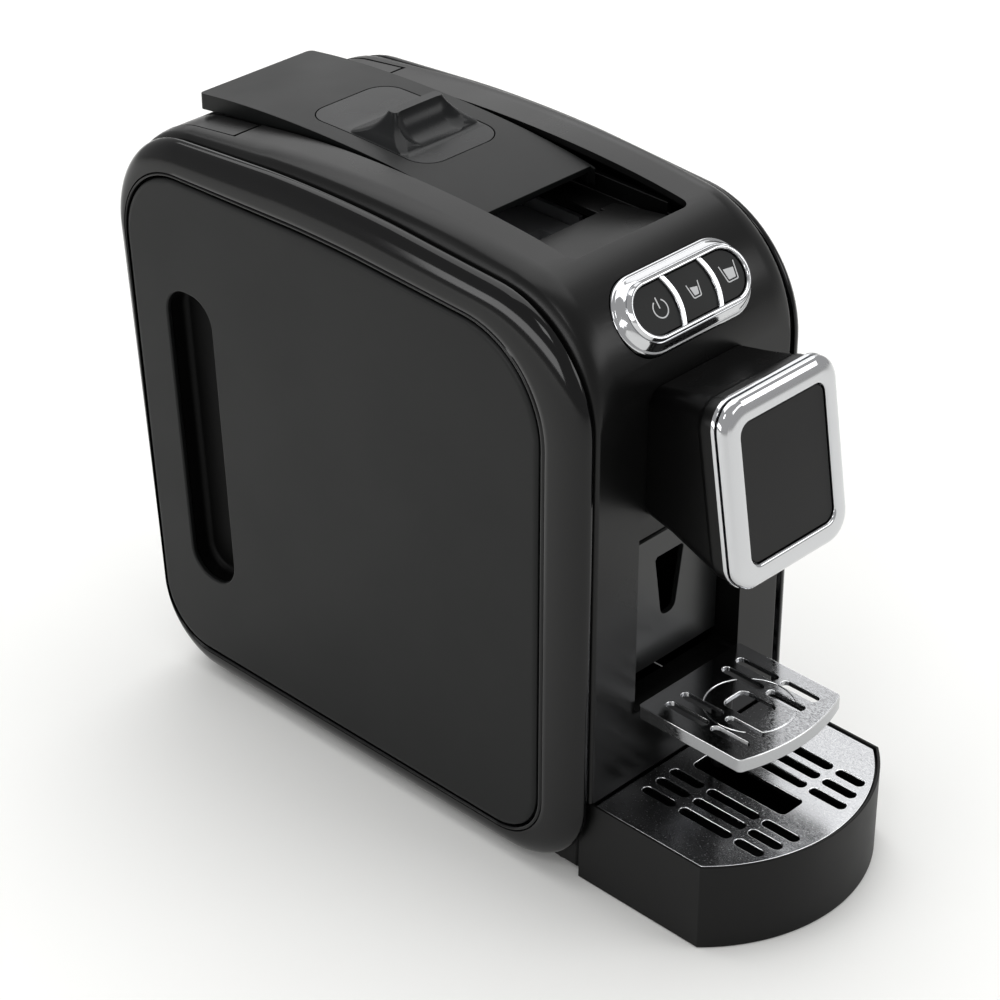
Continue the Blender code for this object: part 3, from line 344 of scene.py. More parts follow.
def grow(corners, distance):
    # moves each side of a convex outline outwards, radii included
    points = [Vector(corner[:2]) for corner in corners]
    count = len(points)
    turn = sum(points[i - 1].x * points[i].y - points[i].x * points[i - 1].y for i in range(count))
    side = 1 if turn > 0 else -1
    moved = []
    for index in range(count):
        before = (points[index] - points[index - 1]).normalized()
        after = (points[(index + 1) % count] - points[index]).normalized()
        outBefore = Vector((before.y, -before.x)) * side
        outAfter = Vector((after.y, -after.x)) * side
        shift = (outBefore + outAfter) / (1 + outBefore.dot(outAfter)) * distance
        radius = corners[index][2]
        moved.append((*(points[index] + shift), max(radius + distance, 0.2) if radius > 0 else 0))
    return moved


def rectangle(halfWidth, halfHeight, radius, centre=(0, 0)):
    return [(centre[0] - halfWidth, centre[1] - halfHeight, radius),
            (centre[0] + halfWidth, centre[1] - halfHeight, radius),
            (centre[0] + halfWidth, centre[1] + halfHeight, radius),
            (centre[0] - halfWidth, centre[1] + halfHeight, radius)]


def slab(corners, makePlace, low, high, segments):
    return loftRings(bmesh.new(), [(corners, makePlace(low), segments),
                                   (corners, makePlace(high), segments)])


def combine(bm, tool, operation="DIFFERENCE"):
    # returns bm cut by, joined to or kept inside tool, using the exact solver
    things = []
    for label, work in (("work", bm), ("tool", tool)):
        mesh = bpy.data.meshes.new(label)
        work.to_mesh(mesh)
        work.free()
        thing = bpy.data.objects.new(label, mesh)
        bpy.context.scene.collection.objects.link(thing)
        things.append(thing)
    cutter = things[0].modifiers.new("cut", "BOOLEAN")
    cutter.operation = operation
    cutter.solver = "EXACT"
    cutter.object = things[1]
    evaluated = things[0].evaluated_get(bpy.context.evaluated_depsgraph_get())
    result = bmesh.new()
    result.from_mesh(evaluated.to_mesh())
    evaluated.to_mesh_clear()
    for thing in things:
        mesh = thing.data
        bpy.data.objects.remove(thing)
        bpy.data.meshes.remove(mesh)
    bmesh.ops.remove_doubles(result, verts=result.verts, dist=mergeDistance)
    return result


def softenEdges(bm, width, segments=2, angle=38):
    # rolls every edge sharper than the angle, after merging faces that lie flat together
    bmesh.ops.dissolve_limit(bm, angle_limit=math.radians(0.4), verts=bm.verts, edges=bm.edges)
    sharp = [edge for edge in bm.edges if len(edge.link_faces) == 2
             and edge.calc_face_angle(0) > math.radians(angle)]
    bmesh.ops.bevel(bm, geom=sharp, offset=width * mm, offset_type="OFFSET", segments=segments,
                    profile=0.5, affect="EDGES", clamp_overlap=True, material=-1)
    bmesh.ops.remove_doubles(bm, verts=bm.verts, dist=mergeDistance)
    return bm


def polishEdges(piece, finish, low):
    # gives the rolled edges above a level a brighter finish than the flats
    piece.data.materials.append(finish)
    for polygon in piece.data.polygons:
        if abs(polygon.normal.z) < 0.985 and polygon.center.z > low * mm:
            polygon.material_index = 1


def refineNode(nodeName, pieceName, width, finish):
    # a merged copy of a CAD node with its hard edges rounded
    bm = bmesh.new()
    bm.from_mesh(nodes[nodeName].data)
    bmesh.ops.remove_doubles(bm, verts=bm.verts, dist=mergeDistance)
    softenEdges(bm, width)
    finishPiece(pieceName, bm, finish, bodyOf[nodeName], [nodeName])


def moveAll(bm, matrix):
    bmesh.ops.transform(bm, matrix=matrix, verts=bm.verts)
    return bm


# outlines shared by the body's pieces: y, z, radius of each corner
sideOutlines = {
    "crown": [(-99.5, 3.5, 38), (-99.5, 271.6, 50), (26, 288.4, 585), (187.7, 267, 45),
              (159, 3.5, 32)],
    "edge": [(-99.5, 3.5, 38), (-99.5, 269, 55), (48, 278.4, 600), (186.2, 267.5, 45),
             (159, 3.5, 32)],
    "inset": [(-77.5, 15.5, 24), (-77.5, 252.5, 44), (45, 258, 600), (175.5, 254, 36),
              (161, 15.5, 28)]}
crown, edge, inset = (sideOutlines[key] for key in ("crown", "edge", "inset"))
cornerSteps = [14, 20, 14, 16, 12]  # how finely each of the five corners is rounded


# side covers: a bulging gloss rim round a grained panel with a grip recess
rimSettings = {"inner": 59.8, "step": 61.8, "outer": 69.7, "rolls": 14, "depth": 5.0,
               # share of the way to the pocket, then the height above the outer face
               "bead": [(0.858, -0.15), (0.866, -0.55), (0.874, -0.75), (0.883, -0.6),
                        (0.892, -0.2), (0.905, 0.0), (0.925, 0.1), (0.945, 0.0),
                        (0.965, -0.3), (0.982, -0.8)]}
panelSettings = {"base": 66.9, "outer": 69.9, "roll": 2.8, "gap": 0.25}
recessSettings = {"outline": [(112, 57, 13), (140.3, 57, 13), (149.3, 202, 13), (119.5, 202, 13)],
                  "floor": 58.8, "wall": 1.3, "floorRoll": 3.0, "mouthRoll": 1.0}


def buildRim(sign, name, node):
    s = rimSettings
    pocket = grow(inset, 0.35)
    rings = [(grow(edge, -2.6), onSide(sign * s["inner"]), cornerSteps),
             (grow(edge, -2.2), onSide(sign * (s["inner"] + 0.5)), cornerSteps),
             (grow(edge, -0.6), onSide(sign * (s["step"] - 0.9)), cornerSteps),
             (grow(edge, -0.15), onSide(sign * (s["step"] - 0.45)), cornerSteps),
             (edge, onSide(sign * s["step"]), cornerSteps)]
    rise = s["outer"] - s["step"]
    for roll in range(1, s["rolls"] + 1):
        angle = math.pi / 2 * roll / s["rolls"]
        share = 0.85 * (1 - math.cos(angle))
        rings.append((mixCorners(edge, pocket, share),
                      onSide(sign * (s["step"] + rise * math.sin(angle))), cornerSteps))
    for share, height in s["bead"]:
        rings.append((mixCorners(edge, pocket, share), onSide(sign * (s["outer"] + height)),
                      cornerSteps))
    rings.append((pocket, onSide(sign * (s["outer"] - 1.2)), cornerSteps))
    rings.append((pocket, onSide(sign * (s["outer"] - s["depth"])), cornerSteps))
    rings.append((mixCorners(edge, pocket, 0.85), onSide(sign * s["inner"]), cornerSteps))
    bm = loftRings(bmesh.new(), rings, closed=True)
    finishPiece(name, bm, glossAbs, "machine", [node], smooth=50, weighted=False)


def buildPanel(sign, name, node):
    s = panelSettings
    outline = grow(inset, -s["gap"])
    rings = [(outline, onSide(sign * s["base"]), cornerSteps)]
    for step in range(6):
        angle = math.pi / 2 * step / 5
        rings.append((grow(outline, -s["roll"] * (1 - math.cos(angle))),
                      onSide(sign * (s["outer"] - 1.4 + 1.4 * math.sin(angle))), cornerSteps))
    bm = loftRings(bmesh.new(), rings)
    r = recessSettings
    hole = slab(r["outline"], lambda x: onSide(sign * x), 50, 80, 10)
    bm = softenEdges(combine(bm, hole), r["mouthRoll"], 4, 60)
    finishPiece(name, bm, grainedAbs, "machine", [node], smooth=40)
    # the recess is a separate dull cup that meets the panel's back; its near-black colour is
    # painted shade in the recess
    cup = [(grow(r["outline"], r["wall"]), onSide(sign * (s["base"] - 0.1)), 10),
           (grow(r["outline"], r["wall"]), onSide(sign * (r["floor"] - r["wall"])), 10)]
    bm = loftRings(bmesh.new(), cup)
    inner = [(grow(r["outline"], 0.15), onSide(sign * 75), 10),
             (grow(r["outline"], 0.15), onSide(sign * (r["floor"] + r["floorRoll"])), 10)]
    for step in (1, 2, 3):
        angle = math.pi / 2 * step / 3
        inner.append((grow(r["outline"], 0.15 - r["floorRoll"] * (1 - math.cos(angle))),
                      onSide(sign * (r["floor"] + r["floorRoll"] * (1 - math.sin(angle)))), 10))
    bm = combine(bm, loftRings(bmesh.new(), inner))
    # the cup is real geometry, coloured near black as painted shade
    finishPiece(name + "RecessCup", bm, recessShadePp, "machine", [node], smooth=40)


for sideName, sideSign in (("Left", -1), ("Right", 1)):
    buildRim(sideSign, "glossRim" + sideName, "side_cover_" + sideName.lower())
    buildPanel(sideSign, "sidePanel" + sideName, "side_panel_" + sideName.lower())
print("side covers ready")


# centre shell
shellSettings = {
    # distance from the middle, inward step, share of the way from edge to crown
    "stations": [(59.4, 2.6, 0.0), (59.2, 1.5, 0.02), (58.8, 0.8, 0.1), (58.2, 0.3, 0.24),
                 (57.2, 0.0, 0.44), (56.2, 0.0, 0.6), (54.0, 0.0, 0.78), (51.0, 0.0, 0.92),
                 (47.5, 0.0, 1.0)],
    "wall": 3.0, "toe": (-91.9, 42.3), "bottom": 24.0,
    "bay": {"half": 50.6, "front": 119.3},
    "alcove": {"half": 33.0, "back": -85.0, "low": 76.0, "high": 171.0, "wall": 2.4,
               "radius": 2.5, "browLow": 150.2},
    "channel": {"half": 35.0, "front": -62.3, "radius": 4.0},
    "edgeRoll": 0.5}


def brick(low, high):
    bm = bmesh.new()
    bmesh.ops.create_cube(bm, size=1.0)
    size = [b - a for a, b in zip(low, high)]
    middle = [(a + b) / 2 for a, b in zip(low, high)]
    bmesh.ops.scale(bm, vec=Vector(size) * mm, verts=bm.verts)
    bmesh.ops.translate(bm, vec=Vector(middle) * mm, verts=bm.verts)
    return bm


def onFront(y):
    return lambda x, z: (x * mm, y * mm, z * mm)


slopeSettings = {"tilt": 38.6, "centre": (-88.3, 256.6)}
slopeFrame = (Matrix.Translation(Vector((0, *slopeSettings["centre"])) * mm)
              @ Matrix.Rotation(math.pi / 2 - math.radians(slopeSettings["tilt"]), 4, "X"))


def onSlope(rise):
    return lambda a, b: slopeFrame @ Vector((a * mm, b * mm, rise * mm))


def buildShell():
    s = shellSettings
    rings = []
    for sign, stations in ((-1, s["stations"]), (1, s["stations"][::-1])):
        for x, inward, share in stations:
            corners = grow(mixCorners(edge, crown, share), -inward)
            rings.append((corners, onSide(sign * x), cornerSteps))
    bm = loftRings(bmesh.new(), rings)
    low, high = grow(crown, -s["wall"] - 2.2), grow(crown, -s["wall"])
    inner = [(low, onSide(-56.4), cornerSteps), (low, onSide(-51), cornerSteps),
             (high, onSide(-47), cornerSteps), (high, onSide(47), cornerSteps),
             (low, onSide(51), cornerSteps), (low, onSide(56.4), cornerSteps)]
    bm = combine(bm, loftRings(bmesh.new(), inner))
    window = slab(grow(edge, -14), onSide, -80, 80, cornerSteps)
    bm = combine(bm, window)
    a, c, bay = s["alcove"], s["channel"], s["bay"]
    bm = combine(bm, brick((-80, -140, -20), (80, 240, s["bottom"])))
    bm = combine(bm, brick((-80, -140, -10), (80, s["toe"][0], s["toe"][1])))
    bm = combine(bm, brick((-bay["half"], bay["front"], -10), (bay["half"], 240, 330)))
    middle = (a["low"] + a["high"]) / 2
    tall = (a["high"] - a["low"]) / 2
    liner = slab(rectangle(a["half"] + a["wall"], tall + a["wall"], a["radius"], (0, middle)),
                 onFront, -98, a["back"] + 0.3, 4)
    bm = combine(bm, liner, "UNION")
    bm = combine(bm, slab(rectangle(a["half"], tall, a["radius"], (0, middle)), onFront,
                          -120, -70, 4))
    brow = brick((-a["half"] - 1, a["back"] - a["wall"], a["browLow"]),
                 (a["half"] + 1, a["back"], a["high"] + 1))
    bm = combine(bm, brow, "UNION")
    channel = [(-c["half"], c["front"], c["radius"]), (c["half"], c["front"], c["radius"]),
               (c["half"], 160, 1), (-c["half"], 160, 1)]
    bm = combine(bm, slab(channel, onLevel, 250, 330, 6))
    bm = combine(bm, slab(rectangle(38.8, 17.3, 17.2), onSlope, -14, 14, 16))
    pipe = slab(rectangle(11, 11, 10.9, (0, 205)), onFront, -110, -90, 6)
    bm = combine(bm, pipe)
    softenEdges(bm, s["edgeRoll"], 2, 45)
    finishPiece("centreShell", bm, satinAbs, "machine", ["centre_shell"], smooth=35)


buildShell()
print("shell ready")

# control panel: chrome bezel, three keys and their printed signs
panelKeySettings = {
    "bezel": [(37.3, 15.8, -9), (38.5, 17, -7.8), (38.5, 17, 1.0), (38.35, 16.85, 1.6),
              (37.95, 16.45, 1.95), (37.4, 15.9, 2.0), (37.0, 15.5, 2.3), (36.3, 14.8, 3.7),
              (35.4, 13.9, 5.3), (34.7, 13.2, 6.0), (34.3, 12.8, 5.9), (34.1, 12.6, 6.6),
              (33.5, 12.0, 7.8), (32.9, 11.4, 8.0), (32.3, 10.8, 7.8), (31.9, 10.5, 7.3),
              (31.8, 10.4, 6.6), (31.8, 10.4, -3), (34, 12.5, -9)],
    "keyArea": (31.4, 10.0), "keyTop": 6.3, "keyLow": -6, "keyRoll": 0.7,
    "dividerAt": (-11.0, 11.1), "dividerWidth": 2.9, "dividerTop": 7.5, "bulge": 3.2,
    "keyGap": 0.45, "printRise": 0.06}


def bentBar(at, width, low, high, half, bulge, cuts=16):
    # an upright bar across the panel that bows towards +X
    bm = bmesh.new()
    bmesh.ops.create_cube(bm, size=1.0)
    long = [e for e in bm.edges if abs(e.verts[0].co.y - e.verts[1].co.y) > 0.5]
    bmesh.ops.subdivide_edges(bm, edges=long, cuts=cuts, use_grid_fill=True)
    for vert in bm.verts:
        part = vert.co.y * 2
        vert.co = slopeFrame @ Vector(((at + vert.co.x * width + bulge * (1 - part * part)) * mm,
                                       part * half * mm,
                                       (low + (vert.co.z + 0.5) * (high - low)) * mm))
    return bm


def islandNear(bm, point):
    # keeps only the island that holds the vertex nearest to the point
    start = min(bm.verts, key=lambda vert: (vert.co - point).length)
    found, edgeVerts = {start}, [start]
    while edgeVerts:
        vert = edgeVerts.pop()
        for edge in vert.link_edges:
            other = edge.other_vert(vert)
            if other not in found:
                found.add(other)
                edgeVerts.append(other)
    bmesh.ops.delete(bm, geom=[v for v in bm.verts if v not in found], context="VERTS")
    return bm


def buildControlPanel():
    s = panelKeySettings
    rings = [(rectangle(a, b, b - 0.03), onSlope(rise), 16) for a, b, rise in s["bezel"]]
    bezel = loftRings(bmesh.new(), rings, closed=True)
    finishPiece("controlBezel", bezel, chromePlate, "machine", ["control_bezel"], 40)
    for at in s["dividerAt"]:
        bar = bentBar(at, s["dividerWidth"], -3, s["dividerTop"], 11.2, s["bulge"])
        softenEdges(bar, 0.5, 3, 60)
        finishPiece("keyDivider", bar, chromePlate, "machine", ["control_bezel"], 50)
    half, tall = s["keyArea"]
    for key, middle, node, body in (("powerKey", -22, "button_power", "power_key"),
                                    ("smallCupKey", 3, "button_small_cup", "small_cup_key"),
                                    ("largeCupKey", 25, "button_large_cup", "large_cup_key")):
        bm = slab(rectangle(half, tall, tall - 0.03), onSlope, s["keyLow"], s["keyTop"], 14)
        for at in s["dividerAt"]:
            bm = combine(bm, bentBar(at, s["dividerWidth"] + 2 * s["keyGap"], -9, 12, 13,
                                     s["bulge"] * 1.1))
        islandNear(bm, slopeFrame @ Vector((middle * mm, 0, 0)))
        softenEdges(bm, s["keyRoll"], 4, 50)
        finishPiece(key, bm, keyAbs, body, [node], 40)


def printPiece(name, bm, node):
    finishPiece(name, bm, printWhite, bodyOf[node], [node], 60, False)


def buildSigns():
    s = panelKeySettings
    low, high = s["keyTop"] - 0.2, s["keyTop"] + s["printRise"]
    # power sign: an open ring and a bar
    ring = bmesh.new()
    radius, line, tall = 3.8, 0.55, high - low
    bmesh.ops.create_grid(ring, x_segments=1, y_segments=1, size=0.5,
                          matrix=Matrix.Rotation(math.pi / 2, 4, "Y"))
    for vert in ring.verts:
        vert.co = Vector((vert.co.x, (vert.co.y * line + radius) * mm, vert.co.z * tall * mm))
    bmesh.ops.rotate(ring, cent=(0, 0, 0), matrix=Matrix.Rotation(math.radians(32), 3, "Z"),
                     verts=ring.verts)
    profile = ring.verts[:] + ring.edges[:] + ring.faces[:]
    bmesh.ops.spin(ring, geom=profile, cent=(0, 0, 0), axis=(0, 0, 1), dvec=(0, 0, 0),
                   angle=math.radians(296), steps=40, use_duplicate=False)
    bmesh.ops.recalc_face_normals(ring, faces=ring.faces)
    moveAll(ring, slopeFrame @ Matrix.Translation(Vector((-17.6, -0.6, (low + high) / 2)) * mm))
    printPiece("powerSignRing", ring, "button_power")
    bar = slab(rectangle(0.3, 2.4, 0.28, (-17.9, 1.9)), onSlope, low, high, 3)
    printPiece("powerSignBar", bar, "button_power")
    # cup signs: an open cup outline and its filling
    for node, name, middle, top, bottom, rise, drop in (
            ("button_small_cup", "smallCup", 3.0, 3.6, 2.4, 3.0, -3.3),
            ("button_large_cup", "largeCup", 24.2, 4.6, 3.2, 3.9, -3.8)):
        wall = 0.5
        outer = [(middle - bottom, drop, 1.0), (middle + bottom, drop, 1.0),
                 (middle + top, rise, 0), (middle - top, rise, 0)]
        inner = [(middle - bottom + wall, drop + wall, 0.5),
                 (middle + bottom - wall, drop + wall, 0.5),
                 (middle + top - wall + 0.2, rise + 1, 0),
                 (middle - top + wall - 0.2, rise + 1, 0)]
        cup = combine(slab(outer, onSlope, low, high, 5),
                      slab(inner, onSlope, low - 1, high + 1, 5))
        printPiece(name + "Sign", cup, node)
        gap = 1.15
        level = drop + (rise - drop) * 0.72
        filling = [(middle - bottom + gap, drop + gap, 0.4),
                   (middle + bottom - gap, drop + gap, 0.4),
                   (middle + top * 0.82 - gap * 0.8, level - 0.35, 0),
                   (middle - top * 0.82 + gap * 0.8, level + 0.35, 0)]
        printPiece(name + "Filling", slab(filling, onSlope, low, high, 4), node)


buildControlPanel()
buildSigns()
print("control panel ready")

# spout head: housing, chrome frame and plain face plate
headSettings = {
    "tilt": 9.3, "centre": (-147.5, 199.7),
    "housing": [(30, 30, 8, -99.8, 200), (31.2, 32.6, 9, -113, 200)],
    "housingFace": [(33.2, 39.0, 11, -15.2), (33.7, 39.5, 11.4, -14.2), (34, 39.8, 11.5, -12.5),
                    (34, 39.8, 11.5, -8.4), (33.6, 39.4, 11.2, -7.2), (33.2, 39.0, 11.0, -6.7)],
    "bezel": [(35.0, 41.0, 12, -6.9), (35.2, 41.2, 12, -6.6), (35.2, 41.2, 12, -5.4),
              (35.0, 41.0, 11.9, -5.0), (34.4, 40.4, 11.5, -4.85), (33.0, 39.0, 10.5, -4.85),
              (33.0, 39.0, 10.5, -4.1), (34.4, 40.4, 11.4, -4.0), (34.9, 40.9, 11.8, -3.6),
              (34.9, 40.9, 11.8, -2.7), (34.6, 40.6, 11.6, -1.7), (33.9, 39.8, 11.1, -0.8),
              (32.8, 38.6, 10.3, -0.1), (31.3, 37.0, 9.3, 0.45), (29.8, 35.3, 8.2, 0.8),
              (28.3, 33.7, 7.2, 0.95), (27.1, 32.4, 6.4, 1.0), (26.4, 31.5, 5.9, 0.85),
              (26.0, 31.0, 5.6, 0.4), (25.8, 30.7, 5.4, -0.2), (25.75, 30.65, 5.3, -4),
              (27.5, 32.5, 6.6, -6.5)],
    "plate": (25.35, 30.25, 5.0), "plateLow": -3.9, "plateTop": -0.3, "plateRoll": 0.5}
headFrame = (Matrix.Translation(Vector((0, *headSettings["centre"])) * mm)
             @ Matrix.Rotation(math.pi / 2 - math.radians(headSettings["tilt"]), 4, "X"))


def onHead(depth):
    return lambda a, b: headFrame @ Vector((a * mm, b * mm, depth * mm))


def buildHead():
    s = headSettings
    rings = [(rectangle(w, h, r, (0, z)), onFront(y), 8) for w, h, r, y, z in s["housing"]]
    rings += [(rectangle(w, h, r), onHead(depth), 8) for w, h, r, depth in s["housingFace"]]
    housing = loftRings(bmesh.new(), rings)
    finishPiece("headHousing", housing, headAbs, "machine",
                ["head_housing"], 40)
    frameRings = [(rectangle(w, h, r), onHead(depth), 12) for w, h, r, depth in s["bezel"]]
    finishPiece("headBezel", loftRings(bmesh.new(), frameRings, closed=True), chromePlate,
                "machine", ["head_bezel"], 40)
    w, h, r = s["plate"]
    plate = slab(rectangle(w, h, r), onHead, s["plateLow"], s["plateTop"], 10)
    softenEdges(plate, s["plateRoll"], 3, 60)
    finishPiece("facePlate", plate, faceAbs, "machine", ["face_plate"], 40)


buildHead()
print("head ready")

# lid: a plank that follows the roof, an inlaid plate and its finger fin
lidSettings = {
    "travel": 49.4, "half": 33.0, "front": -12.1, "rear": 162.9, "deep": 7.3, "skin": 2.6,
    "wall": 2.4, "roll": 0.55, "plateHalf": 23.4, "plate": (31.4, 104.6), "plateRadius": 11,
    "seam": 0.45, "finBase": 283.0, "lipDepth": 2.3, "lipTop": 277.7,
    "fin": [(-1.6, 23.4, 44.0, 81.0, 3.0), (-0.3, 22.8, 45.6, 78.4, 3.4),
            (0.9, 21.8, 47.4, 75.4, 3.8), (2.2, 20.3, 49.4, 72.4, 4.0),
            (3.6, 18.8, 51.6, 69.9, 4.0), (5.4, 17.2, 54.0, 67.8, 3.6),
            (7.6, 15.8, 56.4, 65.9, 3.0), (9.4, 14.8, 57.8, 64.6, 2.4),
            (10.8, 14.2, 58.6, 63.8, 2.0)],
    "scoop": {"radius": 13.0, "y": 46.2, "rise": 12.2, "half": 8.5},
    "runner": (4.5, 46, 62, 256, 282)}
lidCrown = [(y + lidSettings["travel"], z, r) for y, z, r in crown]
crownSteps = [8, 24, 60, 24, 8]


def crownBand(half, top, bottom, front, rear):
    # a strip under the roof line between two depths, cut square at its ends
    bm = slab(grow(lidCrown, -top), onSide, -half, half, crownSteps)
    bm = combine(bm, slab(grow(lidCrown, -bottom), onSide, -60, 60, crownSteps))
    return combine(bm, brick((-70, front, 240), (70, rear, 330)), "INTERSECT")


def gripOutline(extra):
    s = lidSettings
    low, high = s["plate"]
    return rectangle(s["plateHalf"] + extra, (high - low) / 2 + extra, s["plateRadius"] + extra,
                     (0, (low + high) / 2))


def buildLid():
    s = lidSettings
    lid = crownBand(s["half"], 0, s["deep"], s["front"], s["rear"])
    corners = [(-s["half"], s["front"], 0.8), (s["half"], s["front"], 0.8),
               (s["half"], s["rear"], 2.6), (-s["half"], s["rear"], 2.6)]
    lid = combine(lid, slab(corners, onLevel, 240, 320, 5), "INTERSECT")
    inside = crownBand(s["half"] - s["wall"], s["skin"], s["deep"] + 6, s["front"] + 2.2,
                       s["rear"] - s["wall"])
    lid = combine(lid, inside)
    lid = combine(lid, brick((-s["half"] + 1, s["front"] - 1, 200),
                             (s["half"] - 1, s["front"] + s["lipDepth"], s["lipTop"])))
    lid = combine(lid, slab(gripOutline(s["seam"]), onLevel, 262, 300, 10))
    softenEdges(lid, s["roll"], 3, 50)
    finishPiece("slidingLid", lid, lidAbs, "lid", ["sliding_lid"], 35)


def buildGrip():
    s = lidSettings
    plate = crownBand(s["plateHalf"] + 2, 0.05, s["skin"], s["plate"][0] - 2, s["plate"][1] + 2)
    plate = combine(plate, slab(gripOutline(0), onLevel, 240, 320, 10), "INTERSECT")
    softenEdges(plate, 0.4, 3, 60)
    rings = [(rectangle(half, (rear - front) / 2, radius, (0, (front + rear) / 2)),
              onLevel(s["finBase"] + rise), 6) for rise, half, front, rear, radius in s["fin"]]
    fin = loftRings(bmesh.new(), rings)
    scoop = s["scoop"]
    capsule = bmesh.new()
    bmesh.ops.create_uvsphere(capsule, u_segments=48, v_segments=24, radius=scoop["radius"] * mm,
                              matrix=Matrix.Rotation(math.pi / 2, 4, "Y"))
    for vert in capsule.verts:
        if abs(vert.co.x) > mergeDistance:
            vert.co.x += math.copysign(scoop["half"] * mm, vert.co.x)
    moveAll(capsule, Matrix.Translation(Vector((0, scoop["y"], s["finBase"] + scoop["rise"])) * mm))
    bmesh.ops.recalc_face_normals(capsule, faces=capsule.faces)
    knob = combine(combine(plate, fin, "UNION"), capsule)
    low, high = s["runner"][1:3]
    runner = brick((-s["runner"][0], low, s["runner"][3]), (s["runner"][0], high, s["runner"][4]))
    knob = combine(knob, runner, "UNION")
    softenEdges(knob, 0.45, 3, 48)
    finishPiece("lidGrip", knob, gripAbs, "lid", ["lid_grip"], 38)


buildLid()
buildGrip()
print("lid ready")

# tank lid, set back from the shell by an even seam
tankLidSettings = {"half": 49.7, "front": 121.3, "low": 232.4, "wall": 2.6, "roof": 265.6,
                   "channelHalf": 35.3, "channelFloor": 268.2, "roll": 0.5, "seam": 0.3,
                   "skin": 3.0}


def buildTankLid():
    s = tankLidSettings
    bm = slab(grow(crown, -s["seam"]), onSide, -s["half"], s["half"], crownSteps)
    bm = combine(bm, brick((-60, s["front"], s["low"]), (60, 240, 330)), "INTERSECT")
    hollow = slab(grow(crown, -s["skin"]), onSide, -s["half"] + 2, s["half"] - 2, crownSteps)
    hollow = combine(hollow, brick((-60, s["front"] + s["wall"], 200), (60, 240, s["roof"])),
                     "INTERSECT")
    bm = combine(bm, hollow)
    bm = combine(bm, brick((-s["channelHalf"], 100, s["channelFloor"]),
                           (s["channelHalf"], 240, 330)))
    softenEdges(bm, s["roll"], 3, 45)
    finishPiece("tankLid", bm, satinAbs, "tank", ["tank_lid"], 38)


buildTankLid()
print("tank lid ready")

# cup shelf, drip tray and grille with bowed fronts
shelfSettings = {"half": 32.6, "rear": -101.0, "front": -163.2, "corner": -156.8, "top": 81.0,
                 "edge": 6.4, "plate": 2.4, "cornerRoll": 3.0, "roll": 0.5, "slotWidth": 4.6,
                 "slots": [(x * side, y, length) for side in (-1, 1) for x in (13.2, 22.5)
                           for y, length in ((-119.5, 22), (-143, 19.5))],
                 "well": (7.2, -144.0, -124.9, 3.5), "groove": (19.4, -134.5, 0.45)}
traySettings = {"half": 58.4, "rear": -92.2, "front": -184.9, "corner": -159.8, "top": 41.8,
                "floor": 2.4, "wall": 4.2, "ledge": 38.5, "rim": 1.3, "cornerRoll": 5.0,
                "roll": 0.5}
grilleSettings = {"half": 56.5, "rear": -99.9, "front": -183.0, "corner": -158.6, "top": 41.0,
                  "thick": 2.2, "cornerRoll": 4.0, "roll": 0.55, "slotWidth": 5.0,
                  "columns": (15.4, 24.3, 33.2), "rows": ((-114.8, 17.6), (-140.6, 27.6)),
                  "lastRow": (-157.2, -177.2, 200), "well": (6.9, -160.8, -110.0, 2.5)}


def bowedSlab(half, rear, front, corner, low, high, inward=0.0):
    # a block whose front is one wide arc through its corners
    sag = corner - front
    radius = (half * half + sag * sag) / (2 * sag)
    block = brick((-half + inward, front - 5, low), (half - inward, rear - inward, high))
    disc = bmesh.new()
    bmesh.ops.create_cone(disc, cap_ends=True, segments=288, radius1=(radius - inward) * mm,
                          radius2=(radius - inward) * mm, depth=(high - low + 20) * mm)
    moveAll(disc, Matrix.Translation(Vector((0, front + radius, (low + high) / 2)) * mm))
    return combine(block, disc, "INTERSECT")


def roundCorners(bm, roll, steps):
    upright = [edge for edge in bm.edges if abs(edge.verts[0].co.z - edge.verts[1].co.z) > 1e-4
               and len(edge.link_faces) == 2 and edge.calc_face_angle(0) > math.radians(25)]
    bmesh.ops.bevel(bm, geom=upright, offset=roll * mm, offset_type="OFFSET", segments=steps,
                    profile=0.5, affect="EDGES", clamp_overlap=True, material=-1)
    return bm


def slotCutter(slots, width, low, high):
    bm = bmesh.new()
    for x, y, length in slots:
        loftRings(bm, [(rectangle(width / 2, length / 2, width / 2 - 0.03, (x, y)),
                        onLevel(z), 6) for z in (low, high)])
    return bm


def buildShelf():
    s = shelfSettings
    bm = bowedSlab(s["half"], s["rear"], s["front"], s["corner"], s["top"] - s["edge"], s["top"])
    roundCorners(bm, s["cornerRoll"], 6)
    under = bowedSlab(s["half"], s["rear"], s["front"], s["corner"], s["top"] - s["edge"] - 2,
                      s["top"] - s["plate"], 1.6)
    bm = combine(bm, under)
    bm = combine(bm, slotCutter(s["slots"], s["slotWidth"], 60, 90))
    half, front, rear, radius = s["well"]
    well = slab(rectangle(half, (rear - front) / 2, radius, (0, (front + rear) / 2)), onLevel,
                60, 90, 6)
    bm = combine(bm, well)
    softenEdges(bm, s["roll"], 3, 50)
    groove = bmesh.new()
    bmesh.ops.create_circle(groove, segments=12, radius=s["groove"][2] * mm,
                            matrix=Matrix.Translation((s["groove"][0] * mm, 0, 0))
                            @ Matrix.Rotation(math.pi / 2, 4, "X"))
    bmesh.ops.spin(groove, geom=groove.verts[:] + groove.edges[:], cent=(0, 0, 0), axis=(0, 0, 1),
                   dvec=(0, 0, 0), angle=math.tau, steps=96, use_merge=True)
    bmesh.ops.recalc_face_normals(groove, faces=groove.faces)
    moveAll(groove, Matrix.Translation(Vector((0, s["groove"][1], s["top"] + 0.05)) * mm))
    bm = combine(bm, groove)
    piece = finishPiece("cupShelf", bm, polishedSteel, "cup_shelf",
                        ["cup_tray"], 40)
    polishEdges(piece, edgeSteel, s["top"] - s["roll"] - 0.1)


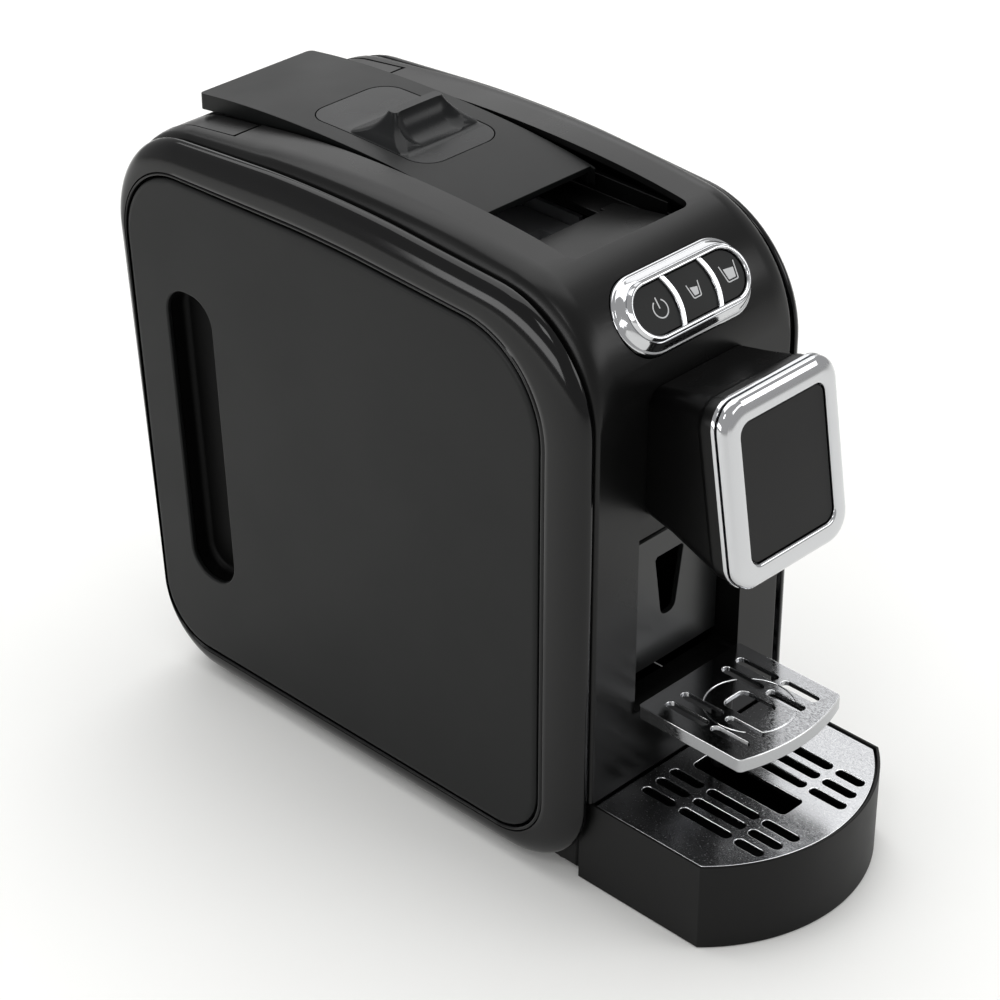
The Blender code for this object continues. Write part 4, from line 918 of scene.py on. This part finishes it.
def buildTray():
    s = traySettings
    bm = bowedSlab(s["half"], s["rear"], s["front"], s["corner"], 0, s["top"])
    roundCorners(bm, s["cornerRoll"], 6)
    bm = combine(bm, bowedSlab(s["half"], s["rear"], s["front"], s["corner"], s["ledge"],
                               s["top"] + 3, s["rim"]))
    bm = combine(bm, bowedSlab(s["half"], s["rear"], s["front"], s["corner"], s["floor"],
                               s["ledge"] + 3, s["wall"]))
    softenEdges(bm, s["roll"], 3, 50)
    finishPiece("dripTray", bm, texturedPp, "tray", ["drip_tray"], 38)


def buildGrille():
    s = grilleSettings
    bm = bowedSlab(s["half"], s["rear"], s["front"], s["corner"], s["top"] - s["thick"], s["top"])
    roundCorners(bm, s["cornerRoll"], 4)
    slots = [(x * side, y, length) for side in (-1, 1) for x in s["columns"]
             for y, length in s["rows"]]
    rear, front, bow = s["lastRow"]
    for x in s["columns"]:
        tip = front + x * x / bow
        slots += [(x * side, (rear + tip) / 2, rear - tip) for side in (-1, 1)]
    bm = combine(bm, slotCutter(slots, s["slotWidth"], 30, 50))
    half, low, high, radius = s["well"]
    bm = combine(bm, slab(rectangle(half, (high - low) / 2, radius, (0, (low + high) / 2)),
                          onLevel, 30, 50, 5))
    softenEdges(bm, s["roll"], 3, 50)
    piece = finishPiece("dripGrille", bm, brushedSteel, "grille",
                        ["drip_grille"], 40)
    polishEdges(piece, edgeSteel, s["top"] - s["roll"] - 0.1)


buildShelf()
buildTray()
buildGrille()
print("trays ready")

# the remaining nodes, refined
refineSettings = {
    "base_chassis": ("baseChassis", 0.8), "rear_panel": ("rearPanel", 0.5),
    "power_inlet": ("powerGland", 0.4), "tank_body": ("tankBody", 0.8),
    "tank_bay": ("tankBayWall", 0.5), "lid_track": ("lidTrack", 0.5),
    "pod_bin": ("podBin", 0.6), "cup_tray_drain": ("cupTrayDrain", 0.4),
    "spout": ("spout", 0.4)}
# the lid track gets the painted-shade grey and the pod bin the painted-light grey
finishOfNode = {"lid_track": trackShadeAbs, "pod_bin": binLightAbs}
for nodeName, (pieceName, width) in refineSettings.items():
    refineNode(nodeName, pieceName, width,
               finishOfNode.get(nodeName, finishOfSlot[slotOf[nodeName]]))
print("details ready")
